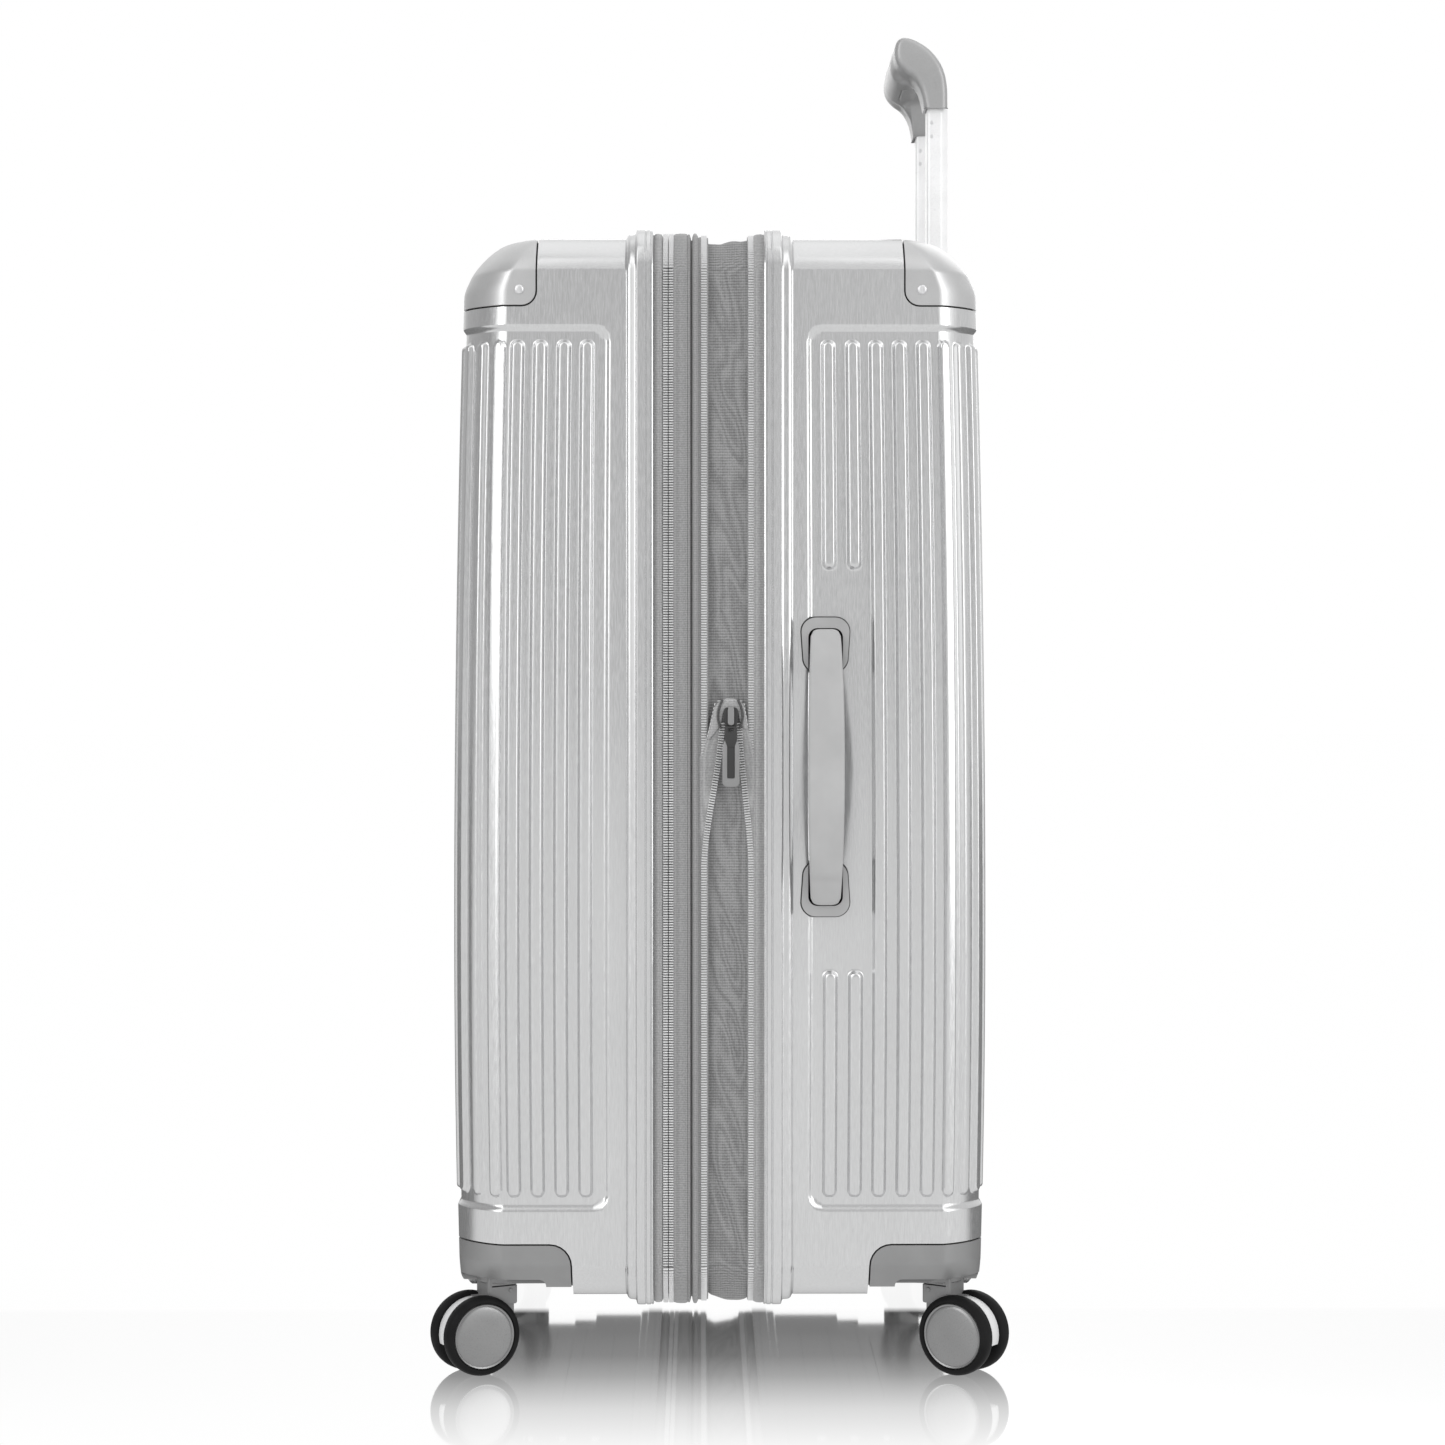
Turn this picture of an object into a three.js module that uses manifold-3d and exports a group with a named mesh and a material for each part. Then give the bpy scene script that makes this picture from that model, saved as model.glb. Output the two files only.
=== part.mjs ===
// Large expandable hard-shell suitcase on four double spinner casters, in millimetres, +Z up.
// The front half shell is at -Y, the back half shell with the pull-out handle at +Y, and the side
// carry handle at +X. The case stands expanded, with its pull-out handle raised a third of its way.
// The origin is on the floor, under the middle of the footprint.
import * as THREE from "three";
import { mergeVertices } from "three/addons/utils/BufferGeometryUtils.js";
import Module from "manifold-3d";

const wasm = await Module();
wasm.setup();

// ---- Driving dimensions ----
const HEIGHT_STRETCH = 1.005;
const HEIGHT_DROP = 5.3;
const standing = (z) => z * HEIGHT_STRETCH - HEIGHT_DROP; // a drawn height's place above the floor
const HALF_WIDTH = 260; // shell side faces, from the middle plane
const SHELL_TOP = 770;
const SHELL_BOTTOM = 60;
const WALL = 2.5; // moulded shell thickness
const FACE_CHAMFER = 28; // between a side, top or bottom face and the front or back face
const EDGE_CHAMFER = 24; // between a side face and the top or bottom face
const FOOT_CHAMFER = 10; // how far the bottom face rises towards the front or back face
const FRONT_FACE = -178;
const FRONT_EDGE = -45; // where the front shell ends, at its rim
const BACK_EDGE = 29;
const BACK_FACE = 177;
const RIM_DEPTH = 17; // raised band round each shell's open edge
const RIM_PROUD = 6.5;
const GAP = 0.4; // between neighbouring pieces
const BEYOND = 900; // cutting blocks reach this far, past every piece

const RIB_PITCH = 16.3;
const RIB_WIDTH = 10;
const RIB_PROUD = 1.2;
const RIB_LOW = 128;
const RIB_HIGH = 702;

const GUARD = { x: 205, y: 55, z: 723, thick: 1.9 }; // upper corner guards: y is their reach along Y
const HOUSING = { x: 200, y: 77, low: 66.8, high: 96.8 }; // lower corner wheel housings

const FRONT_ZIP = { front: -44.6, back: -35.3, coil: -38.4 };
const FRAME_BAND = { front: -34.7, back: -8, piping: -18.8 };
const GUSSET = { front: -7.6, back: 17.6 };
const BACK_ZIP = { front: 18, back: 28.6, coil: 20.8 };

const TUBE_X = 59; // pull-out handle tubes, from the middle plane
const TUBE_Y = 159.5;
const GRIP_BOTTOM = 889;
const TRAY = { x: 98, front: 124, low: 738, floor: 744.5 };

const CASTER_X = 218;
const CASTER_Y = 151.2;
const WHEEL_RADIUS = 27;
const TRAIL = 18; // swivel axis to wheel axis, level
const FRONT_HEADING = 28; // degrees that the front casters' axles are turned out
const BACK_HEADING = 35;

const HANDLE_REACH = 282; // outer face of the side carry handle
const HINGE_REACH = 266.5; // rim on the hinge side
// The shell's middle plane stands here, so that the footprint is centred.
const MIDDLE_X = (HINGE_REACH - HANDLE_REACH) / 2;

const radians = THREE.MathUtils.degToRad;

// ---- Solids: a three.js geometry becomes a manifold for joining and cutting, and goes back ----
function solid(geometry) {
  const bare = geometry.clone();
  for (const name of Object.keys(bare.attributes)) if (name !== "position") bare.deleteAttribute(name);
  const merged = mergeVertices(bare, 1e-4);
  const made = new wasm.Manifold(
    new wasm.Mesh({
      numProp: 3,
      vertProperties: merged.attributes.position.array,
      triVerts: new Uint32Array(merged.index.array),
    }),
  );
  return made;
}

function geometryOf(manifold) {
  const mesh = manifold.getMesh();
  const geometry = new THREE.BufferGeometry();
  geometry.setAttribute("position", new THREE.BufferAttribute(mesh.vertProperties, 3));
  geometry.setIndex(new THREE.BufferAttribute(mesh.triVerts, 1));
  const flat = geometry.toNonIndexed();
  flat.computeVertexNormals();
  return flat;
}

function placed(geometry, matrix) {
  return solid(geometry.clone().applyMatrix4(matrix));
}

function box(x0, x1, y0, y1, z0, z1) {
  const geometry = new THREE.BoxGeometry(x1 - x0, y1 - y0, z1 - z0);
  geometry.translate((x0 + x1) / 2, (y0 + y1) / 2, (z0 + z1) / 2);
  return solid(geometry);
}

// A cylinder between two heights on its own axis, which points along `axis` and passes through `at`.
function rod(radius, from, to, axis, at, sides = 16) {
  const geometry = new THREE.CylinderGeometry(radius, radius, to - from, sides);
  geometry.rotateY(Math.PI / sides);
  geometry.translate(0, (from + to) / 2, 0);
  const upright = new THREE.Vector3(0, 1, 0);
  const turn = new THREE.Quaternion().setFromUnitVectors(upright, axis.clone().normalize());
  return placed(geometry, new THREE.Matrix4().compose(at, turn, new THREE.Vector3(1, 1, 1)));
}

function outline(points) {
  return new THREE.Shape(points.map(([a, b]) => new THREE.Vector2(a, b)));
}

// A rectangle with rounded corners, centred on the shape's own origin.
function roundedRectangle(width, height, radius, steps = 3) {
  const points = [];
  const corners = [
    [1, 1, 0],
    [-1, 1, 90],
    [-1, -1, 180],
    [1, -1, 270],
  ];
  for (const [sx, sy, start] of corners)
    for (let i = 0; i <= steps; i++) {
      const angle = radians(start + (90 * i) / steps);
      points.push([
        sx * (width / 2 - radius) + radius * Math.cos(angle),
        sy * (height / 2 - radius) + radius * Math.sin(angle),
      ]);
    }
  return points;
}

function extrude(points, depth, holes = []) {
  const shape = outline(points);
  for (const hole of holes) {
    const edge = hole.map(([a, b]) => new THREE.Vector2(a, b));
    shape.holes.push(new THREE.Path(edge));
  }
  return new THREE.ExtrudeGeometry(shape, { depth, bevelEnabled: false, steps: 1 });
}

// Shape plane to object axes: the shape's x and y, and its depth, along the named directions.
function facing(right, up, origin) {
  const r = new THREE.Vector3(...right);
  const u = new THREE.Vector3(...up);
  const matrix = new THREE.Matrix4().makeBasis(r, u, new THREE.Vector3().crossVectors(r, u));
  return matrix.setPosition(new THREE.Vector3(...origin));
}

// ---- Lofts through rings that go round the case in the XZ plane ----
function caseRing(y, inset, cornerCut = EDGE_CHAMFER, lift = inset) {
  const half = HALF_WIDTH - inset;
  const top = SHELL_TOP - inset;
  const bottom = SHELL_BOTTOM + lift;
  const cut = cornerCut - inset * (2 - Math.SQRT2);
  const soft = cut * 0.29; // each corner's middle point, so that the cut is a little round
  return [
    [half, bottom + cut],
    [half, top - cut],
    [half - soft, top - soft],
    [half - cut, top],
    [-half + cut, top],
    [-half + soft, top - soft],
    [-half, top - cut],
    [-half, bottom + cut],
    [-half + soft, bottom + soft],
    [-half + cut, bottom],
    [half - cut, bottom],
    [half - soft, bottom + soft],
  ].map(([x, z]) => new THREE.Vector3(x, y, z));
}

// Skins a row of rings. Open rows are capped at both ends, and closed ones join up into a frame.
function loft(rings, closed = false) {
  const count = rings[0].length;
  const positions = rings.flat().flatMap((p) => [p.x, p.y, p.z]);
  const index = [];
  const spans = closed ? rings.length : rings.length - 1;
  for (let r = 0; r < spans; r++)
    for (let i = 0; i < count; i++) {
      const a = r * count + i;
      const b = r * count + ((i + 1) % count);
      const c = ((r + 1) % rings.length) * count + i;
      const d = ((r + 1) % rings.length) * count + ((i + 1) % count);
      index.push(a, c, b, b, c, d);
    }
  if (!closed)
    for (let i = 1; i < count - 1; i++) {
      const last = (rings.length - 1) * count;
      index.push(0, i, i + 1, last, last + i + 1, last + i);
    }
  const geometry = new THREE.BufferGeometry();
  geometry.setAttribute("position", new THREE.Float32BufferAttribute(positions, 3));
  geometry.setIndex(index);
  const made = solid(geometry);
  if (made.volume() > 0) return made;
  const flipped = [];
  for (let i = 0; i < index.length; i += 3) flipped.push(index[i], index[i + 2], index[i + 1]);
  geometry.setIndex(flipped);
  return solid(geometry);
}

// A frame round the case: its section is a closed row of [y, inset] points.
const frameOf = (section) => loft(section.map(([y, inset]) => caseRing(y, inset)), true);

// The filled outer form of one half, taken in by `inset`, running `past` its open edge.
function halfForm(side, inset, past = 0) {
  const edge = side.edge - side.out * past;
  const face = side.face - side.out * inset;
  const slope = inset * (2 - Math.SQRT2); // keeps the chamfer's wall as thick as the flat walls
  const shoulder = side.face - side.out * (FACE_CHAMFER + inset - slope);
  return loft([
    caseRing(edge, inset),
    caseRing(shoulder, inset),
    caseRing(face, FACE_CHAMFER + inset - slope, EDGE_CHAMFER + 4, FOOT_CHAMFER + 0.7 * inset),
  ]);
}

const FRONT = { name: "front", out: -1, face: FRONT_FACE, edge: FRONT_EDGE, heading: FRONT_HEADING };
const BACK = { name: "back", out: 1, face: BACK_FACE, edge: BACK_EDGE, heading: BACK_HEADING };

// A box at one corner of a half, from `x` outwards and from `reach` inside the face outwards.
function cornerBox(side, hand, x, reach, low, high, grow = 0) {
  const inner = side.face - side.out * (reach + grow);
  const outer = side.face + side.out * 20;
  const near = x - grow;
  const far = HALF_WIDTH + 20;
  const [y0, y1] = [Math.min(inner, outer), Math.max(inner, outer)];
  const [x0, x1] = hand > 0 ? [near, far] : [-far, -near];
  return box(x0, x1, y0, y1, low - grow, high + grow);
}

const HANDS = [
  ["left", -1],
  ["right", 1],
];
const guardBox = (side, hand, grow = 0) =>
  cornerBox(side, hand, GUARD.x, GUARD.y, GUARD.z, SHELL_TOP + 20, grow);
const housingBox = (side, hand, grow = 0) =>
  cornerBox(side, hand, HOUSING.x, HOUSING.y, SHELL_BOTTOM - 20, HOUSING.high, grow);

// ---- Ribs: low flat-topped ridges with pointed ends, moulded into the shell faces ----
function ribSolid(length) {
  const base = [
    [-RIB_WIDTH / 2, -length / 2 + 4],
    [0, -length / 2],
    [RIB_WIDTH / 2, -length / 2 + 4],
    [RIB_WIDTH / 2, length / 2 - 4],
    [0, length / 2],
    [-RIB_WIDTH / 2, length / 2 - 4],
  ];
  const sunk = -1;
  const rings = [
    base.map(([a, b]) => new THREE.Vector3(a, b, sunk)),
    base.map(([a, b]) => new THREE.Vector3(a * 0.62, b * (1 - 4 / length), RIB_PROUD)),
  ];
  return loft(rings);
}

// A rib on a vertical face, at a point of it, facing along `outward`.
function ribAt(x, y, outward, low = RIB_LOW, high = RIB_HIGH) {
  const o = new THREE.Vector3(...outward).normalize();
  const right = new THREE.Vector3(0, 0, 1).cross(o);
  const matrix = new THREE.Matrix4().makeBasis(right, new THREE.Vector3(0, 0, 1), o);
  matrix.setPosition(x, y, (low + high) / 2);
  return ribSolid(high - low).transform(matrix.elements);
}

function ribsOf(side) {
  const ribs = [];
  const across = 28; // ribs on the front or back face
  for (let i = 0; i < across; i++)
    ribs.push(ribAt((i - (across - 1) / 2) * RIB_PITCH, side.face, [0, side.out, 0]));
  const onSide = side === FRONT ? 4 : 5;
  for (const [, hand] of HANDS) {
    for (let i = 0; i < onSide; i++) {
      const y = side.face - side.out * (41 + i * RIB_PITCH);
      const besideHandle = side === BACK && hand > 0 && i > 2;
      const spans = besideHandle ? [[RIB_LOW, 278], [547, RIB_HIGH]] : [[RIB_LOW, RIB_HIGH]];
      for (const [low, high] of spans) ribs.push(ribAt(hand * HALF_WIDTH, y, [hand, 0, 0], low, high));
    }
    for (const share of [0.19, 0.5, 0.81])
      ribs.push(
        ribAt(
          hand * (HALF_WIDTH - FACE_CHAMFER * share),
          side.face - side.out * FACE_CHAMFER * (1 - share),
          [hand, side.out, 0],
        ),
      );
  }
  return ribs;
}

// ---- Shells, with their raised rims, corner seats and cut-outs ----
function shellOf(side) {
  const inward = -side.out;
  const rimStart = side.edge - inward * RIM_DEPTH;
  let shell = halfForm(side, 0).add(
    loft([
      caseRing(rimStart, -0.2),
      caseRing(rimStart + inward * 3, -RIM_PROUD),
      caseRing(side.edge, -RIM_PROUD),
    ]),
  );
  for (const rib of ribsOf(side)) shell = shell.add(rib);
  shell = shell.subtract(halfForm(side, WALL, 1));
  for (const [, hand] of HANDS) {
    shell = shell.subtract(guardBox(side, hand));
    const seat = halfForm(side, WALL - 0.3)
      .subtract(halfForm(side, 2 * WALL - 0.3, 1))
      .intersect(guardBox(side, hand, 3));
    shell = shell.add(seat);
    shell = shell.subtract(housingBox(side, hand, GAP));
  }
  return shell;
}

function guardOf(side, hand) {
  return halfForm(side, 0)
    .subtract(halfForm(side, GUARD.thick, 1))
    .intersect(guardBox(side, hand, -GAP));
}

function casterPost(side, hand) {
  return new THREE.Vector3(hand * CASTER_X, side.out * CASTER_Y, 0);
}

// The housing is an open-topped tray that follows the shell's corner, with a boss for the swivel pin.
function housingOf(side, hand) {
  const post = casterPost(side, hand);
  const tray = halfForm(side, 0)
    .intersect(housingBox(side, hand))
    .subtract(box(-300, 300, -300, 300, 0, HOUSING.low));
  const hollow = halfForm(side, 3)
    .intersect(housingBox(side, hand, -3).add(housingBox(side, hand, -3).translate([0, 0, 6])))
    .subtract(box(-300, 300, -300, 300, 0, HOUSING.low + 3));
  const up = new THREE.Vector3(0, 0, 1);
  return tray
    .subtract(hollow)
    .add(rod(13, HOUSING.low + 1, 90, up, post))
    .subtract(rod(5.4, HOUSING.low - 5, 86, up, post));
}

// ---- Casters: a fork that swivels on its pin, with a wheel on each side of its web ----
function casterFrame(side, hand) {
  const angle = radians(side.heading);
  const axle = new THREE.Vector3(hand * Math.cos(angle), -side.out * Math.sin(angle), 0);
  const ahead = new THREE.Vector3(hand * Math.sin(angle), side.out * Math.cos(angle), 0);
  const post = casterPost(side, hand);
  const centre = post.clone().addScaledVector(ahead, TRAIL).setZ(WHEEL_RADIUS);
  return { axle, ahead, post, centre };
}

function forkOf(side, hand) {
  const { axle, ahead, post, centre } = casterFrame(side, hand);
  const up = new THREE.Vector3(0, 0, 1);
  const web = 5.4; // half the gap between the wheels, less clearance
  const neck = extrude(roundedRectangle(2 * web, 30, 1, 1), 27);
  neck.translate(0, 0, 26);
  const turned = new THREE.Matrix4().makeBasis(axle, ahead, up);
  if (turned.determinant() < 0) turned.makeBasis(axle.clone().negate(), ahead, up);
  turned.setPosition(post.clone().addScaledVector(ahead, 3));
  return rod(11, 52, standing(HOUSING.low) - GAP, up, post)
    .add(rod(5, 56, standing(84), up, post))
    .add(placed(neck, turned))
    .add(rod(21, -web, web, axle, centre, 20).subtract(box(-BEYOND, BEYOND, -BEYOND, BEYOND, 0, 14)))
    .add(rod(3, -14, 14, axle, centre, 10));
}

// One wheel: tyre, hub and cap turned as one, its closed face outwards and a blind bore inwards.
function wheelOf(side, hand, outward) {
  const { axle, centre } = casterFrame(side, hand);
  const sides = 24;
  const tread = WHEEL_RADIUS / Math.cos(Math.PI / sides); // the flats stand on the floor
  const [inner, outer] = [6, 17.5];
  const profile = [
    [0, outer - 2.2],
    [3.3, outer - 2.2],
    [3.3, inner],
    [tread - 2.5, inner],
    [tread, inner + 2.5],
    [tread, outer - 3.5],
    [tread - 4, outer],
    [0, outer],
  ].map(([r, h]) => new THREE.Vector2(r, h));
  const geometry = new THREE.LatheGeometry(profile, sides);
  const direction = axle.clone().multiplyScalar(outward);
  const across = new THREE.Vector3().crossVectors(new THREE.Vector3(0, 0, 1), direction);
  geometry.rotateY(Math.PI / sides);
  const matrix = new THREE.Matrix4().makeBasis(across, direction, new THREE.Vector3(0, 0, 1).negate());
  if (matrix.determinant() < 0) matrix.makeBasis(across, direction, new THREE.Vector3(0, 0, 1));
  matrix.setPosition(centre);
  return placed(geometry, matrix);
}

// ---- Linings: fabric skins inside each half, with bumps over the wheel housings and the handle ----
const LINING = { outside: 5.2, inside: 6.2, mouth: 4, tubesHalf: TUBE_X + 26, tubesFront: 147 };

function liningOf(side) {
  const { outside, inside, mouth: back, tubesHalf, tubesFront } = LINING;
  const wells = (grow) => {
    let made = housingBox(side, 1, 1 + grow).add(housingBox(side, -1, 1 + grow));
    if (side === BACK) {
      const half = TRAY.x + 2 + grow;
      made = made.add(box(-tubesHalf - grow, tubesHalf + grow, tubesFront - grow, BEYOND, 0, BEYOND));
      made = made.add(box(-half, half, TRAY.front - 1.5 - grow, BEYOND, TRAY.low - 1 - grow, BEYOND));
    }
    return made;
  };
  const open = side === FRONT ? [FRONT_EDGE - back, BEYOND] : [-BEYOND, BACK_EDGE + back];
  const mouth = box(-BEYOND, BEYOND, ...open, 0, BEYOND);
  return halfForm(side, outside)
    .subtract(wells(0))
    .subtract(halfForm(side, inside, 1).subtract(wells(inside - outside)))
    .subtract(mouth);
}

// ---- The fabric bands between the shells ----
const frontTape = () =>
  frameOf([
    [FRONT_ZIP.front, -1],
    [FRONT_ZIP.coil, -1],
    [FRONT_ZIP.coil, -2.4],
    [FRONT_ZIP.back, -2.4],
    [FRONT_ZIP.back, 2],
    [FRONT_ZIP.front, 2],
  ]);
const frameBand = () =>
  frameOf([
    [FRAME_BAND.front, -2.4],
    [FRAME_BAND.front + 2.8, -2.4],
    [FRAME_BAND.front + 2.8, -1],
    [FRAME_BAND.piping - 2.6, -1],
    [FRAME_BAND.piping - 1, -3],
    [FRAME_BAND.piping + 1, -3],
    [FRAME_BAND.piping + 2.6, -1],
    [FRAME_BAND.back - 2.8, -1],
    [FRAME_BAND.back - 2.8, -2.4],
    [FRAME_BAND.back, -2.4],
    [FRAME_BAND.back, 2],
    [FRAME_BAND.front, 2],
  ]);
const gussetBand = () =>
  frameOf([
    [GUSSET.front, 0.5],
    [GUSSET.back, 0.5],
    [GUSSET.back, 2.5],
    [GUSSET.front, 2.5],
  ]);
const backTape = () =>
  frameOf([
    [BACK_ZIP.front, -2.4],
    [BACK_ZIP.coil, -2.4],
    [BACK_ZIP.coil, -1],
    [BACK_ZIP.back, -1],
    [BACK_ZIP.back, 2],
    [BACK_ZIP.front, 2],
  ]);
const hingeStrip = () => box(-265, -263.6, -44, -24, 110, 720);

// ---- Pull-out handle ----
function tubeSection(width, depth, wall) {
  const grow = (by) => roundedRectangle(width + by, depth + by, 4 + by / 2, 2);
  return [grow(0), grow(-2 * wall)];
}

function tube(hand, width, depth, low, high) {
  const [outside, inside] = tubeSection(width, depth, 1.2);
  const geometry = extrude(outside, high - low, [inside.slice().reverse()]);
  geometry.translate(hand * TUBE_X, TUBE_Y, low);
  return solid(geometry);
}

const INNER_TUBE = { width: 21, depth: 15.2, low: 290, high: 905 };
const MIDDLE_TUBE = { width: 24.2, depth: 18.4, low: 118, high: 743.5 };
const OUTER_TUBE = { width: 27.4, depth: 21.6, low: 99, high: 737.4 };
const tubeFrom = (spec, hand) => tube(hand, spec.width, spec.depth, spec.low, spec.high);

const trayForm = (grow) =>
  box(-TRAY.x - grow, TRAY.x + grow, TRAY.front - grow, 200, TRAY.low - grow, 800);

function trayOf() {
  let tray = trayForm(0)
    .intersect(halfForm(BACK, 0).add(box(-TRAY.x, TRAY.x, TRAY.front, 148, 760, SHELL_TOP + 1)))
    .subtract(box(-82, 82, 127, 172, TRAY.floor, BEYOND));
  for (const [, hand] of HANDS) {
    const hole = extrude(roundedRectangle(MIDDLE_TUBE.width + 0.8, MIDDLE_TUBE.depth + 0.8, 4.4, 2), 20);
    hole.translate(hand * TUBE_X, TUBE_Y, TRAY.low - 5);
    tray = tray.subtract(solid(hole));
  }
  return tray;
}

const tubeFoot = () => box(-TUBE_X - 22, TUBE_X + 22, 149, 174.2, 90, 98.6);

// The grip's arms curve forwards from the tubes to a thick bar across the top.
const GRIP_ARM = [
  [149.4, 0],
  [166.9, 0],
  [166.6, 20],
  [162.3, 33],
  [154.2, 42.4],
  [144.8, 48.2],
  [135.6, 51],
  [130.5, 49],
  [129.2, 44],
  [131.5, 36.6],
  [136, 31.5],
  [142.6, 26.7],
  [145.2, 16],
];
const GRIP_BAR = GRIP_ARM.slice(3, 11).concat([[146, 25.5], [157, 27]]);
const BUTTON = { x: 21, front: 137.5, back: 147.5, low: 914.5, high: 920 };

function gripOf() {
  const along = (points, x0, x1) =>
    placed(extrude(points, x1 - x0), facing([0, 1, 0], [0, 0, 1], [x0, 0, GRIP_BOTTOM]));
  let grip = along(GRIP_BAR, -TUBE_X - 6, TUBE_X + 6);
  for (const [, hand] of HANDS) {
    const x = hand * TUBE_X;
    grip = grip.add(along(GRIP_ARM, x - 13, x + 13));
    const plan = roundedRectangle(INNER_TUBE.width + 0.8, INNER_TUBE.depth + 0.8, 4.4, 2);
    const socket = extrude(plan, 16.6);
    socket.translate(x, TUBE_Y - 1.8, GRIP_BOTTOM - 0.2);
    grip = grip.subtract(solid(socket).translate([0, 1.4, 0]));
  }
  const { x, front, back, high } = BUTTON;
  const pocket = box(-x - GAP, x + GAP, front - GAP, back + GAP, BUTTON.low - 14.5, high + 3.4);
  return grip.subtract(pocket);
}

const buttonOf = () => box(-BUTTON.x, BUTTON.x, BUTTON.front, BUTTON.back, BUTTON.low, BUTTON.high);

// ---- Carry handles: a bowed strap whose ends sit in two plates ----
const STRAP = { half: 91.5, width: 22, thick: 5, bow: 14 };
const PLATE = { width: 32, length: 37.4, thick: 5, end: 99.3 };

function strapProfile() {
  const outer = [];
  const inner = [];
  const steps = 8;
  for (let i = 0; i <= steps; i++) {
    const t = -1 + (2 * i) / steps;
    const rise = STRAP.bow * (1 - Math.pow(Math.abs(t), 2.6));
    outer.push([t * STRAP.half, 3 + rise + STRAP.thick]);
    inner.push([t * STRAP.half, 3 + Math.max(0, rise - 0.01)]);
  }
  return outer.concat(inner.reverse());
}

// Drawn with its length along `length`, standing off a face along `off`, at the middle of the handle.
function strapOf({ length, off, at: origin }) {
  const across = new THREE.Vector3(...length).cross(new THREE.Vector3(...off));
  const start = new THREE.Vector3(...origin).addScaledVector(across, -STRAP.width / 2);
  return placed(extrude(strapProfile(), STRAP.width), facing(length, off, start.toArray()));
}

function plateOf({ length, off, at: origin }, end) {
  const across = new THREE.Vector3(...length).cross(new THREE.Vector3(...off));
  const along = new THREE.Vector3(...length).multiplyScalar(end * (PLATE.end - PLATE.length / 2));
  const base = new THREE.Vector3(...origin).add(along).addScaledVector(new THREE.Vector3(...off), GAP);
  const matrix = facing(length, across.clone().negate().toArray(), base.toArray());
  const body = placed(extrude(roundedRectangle(PLATE.length, PLATE.width, 9), PLATE.thick), matrix);
  const reach = STRAP.half + 0.6;
  const middle = new THREE.Vector3(...origin);
  middle.addScaledVector(new THREE.Vector3(...length), (end * reach) / 2);
  middle.addScaledVector(new THREE.Vector3(...off), 2.4);
  const pocket = extrude(roundedRectangle(reach, STRAP.width + 1, 1, 1), 20);
  return body.subtract(placed(pocket, facing(length, across.negate().toArray(), middle.toArray())));
}

const SIDE_HANDLE = { length: [0, 0, 1], off: [1, 0, 0], at: [HALF_WIDTH, 70, 416] };
const TOP_HANDLE = { length: [1, 0, 0], off: [0, 0, 1], at: [0, 82, SHELL_TOP] };

// ---- Zip pulls, combination lock and straps ----
const SLIDER = { y: 5, z: 446, x: 262.9 };

function expansionSlider() {
  const bridge = box(267, 268.8, SLIDER.y - 1.6, SLIDER.y + 1.6, SLIDER.z - 4, SLIDER.z + 4.5);
  const plan = outline([[-6, 0], [-4.5, -6], [4.5, -6], [6, 0], [5, 6], [-5, 6]]);
  const body = new THREE.ExtrudeGeometry(plan, { depth: 4.2, bevelEnabled: false });
  return placed(body, facing([0, 1, 0], [0, 0, 1], [SLIDER.x, SLIDER.y, SLIDER.z])).add(bridge);
}

// A pull's tab starts just beyond its slider's bridge, and turns about the bridge's end.
function pullTab(width, length, thick) {
  return extrude(roundedRectangle(width, length, 3), thick, [roundedRectangle(width * 0.42, 6, 1.5)]);
}

function expansionPull() {
  const length = 38;
  const top = SLIDER.z - 5;
  const origin = [269.2, SLIDER.y, top - length / 2];
  return placed(pullTab(11.6, length, 2.2), facing([0, 1, 0], [0, 0, 1], origin));
}

function tapeGarage() {
  const patch = outline([[-9, 0], [9, 0], [4.5, 23], [-4.5, 23]]);
  const geometry = new THREE.ExtrudeGeometry(patch, { depth: 1.3, bevelEnabled: false });
  return placed(geometry, facing([0, 1, 0], [0, 0, 1], [SLIDER.x, SLIDER.y, SLIDER.z + 6.4]));
}

const MAIN_SLIDER = { x: 24, y: -35, low: 772.8 };

function mainSlider(hand) {
  const { x, y, low } = MAIN_SLIDER;
  const body = extrude(roundedRectangle(14, 10, 3), 4);
  body.translate(hand * x, y, low);
  return solid(body).add(box(hand * x - 4, hand * x + 4, y - 1.5, y + 1.5, low + 3, low + 6));
}

function mainPull(hand) {
  const length = 31;
  const tab = pullTab(9.6, length, 2);
  tab.translate(hand * MAIN_SLIDER.x, MAIN_SLIDER.y - 2 - length / 2, MAIN_SLIDER.low + 6.4);
  return solid(tab);
}

const LOCK = { half: 33, front: -102, back: -73, low: 770.6, high: 780 };
const DIAL = { count: 3, first: -22, pitch: 10, radius: 6.4, half: 2.4, y: -92, z: 777 };
const RELEASE = { x: 22, half: 5, front: -92, back: -84, travel: 3, sunk: 2.6, proud: 1.4 };

function lockBody() {
  const { half, front, back, low, high } = LOCK;
  const plan = roundedRectangle(2 * half, back - front, 5);
  const body = extrude(plan, high - low);
  body.translate(0, (front + back) / 2, low);
  let made = solid(body);
  for (let i = 0; i < DIAL.count; i++) {
    const [start, end] = [dialX(i) - DIAL.half - 0.4, dialX(i) + DIAL.half + 0.4];
    made = made.subtract(box(start, end, DIAL.y - 7, DIAL.y + 7, 0, BEYOND));
  }
  const { x, half: reach, travel, sunk } = RELEASE;
  const [from, to] = [RELEASE.front - travel - 0.4, RELEASE.back + GAP];
  return made.subtract(box(x - reach - GAP, x + reach + GAP, from, to, high - sunk - 0.4, BEYOND));
}

const dialX = (i) => DIAL.first + i * DIAL.pitch;

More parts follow.
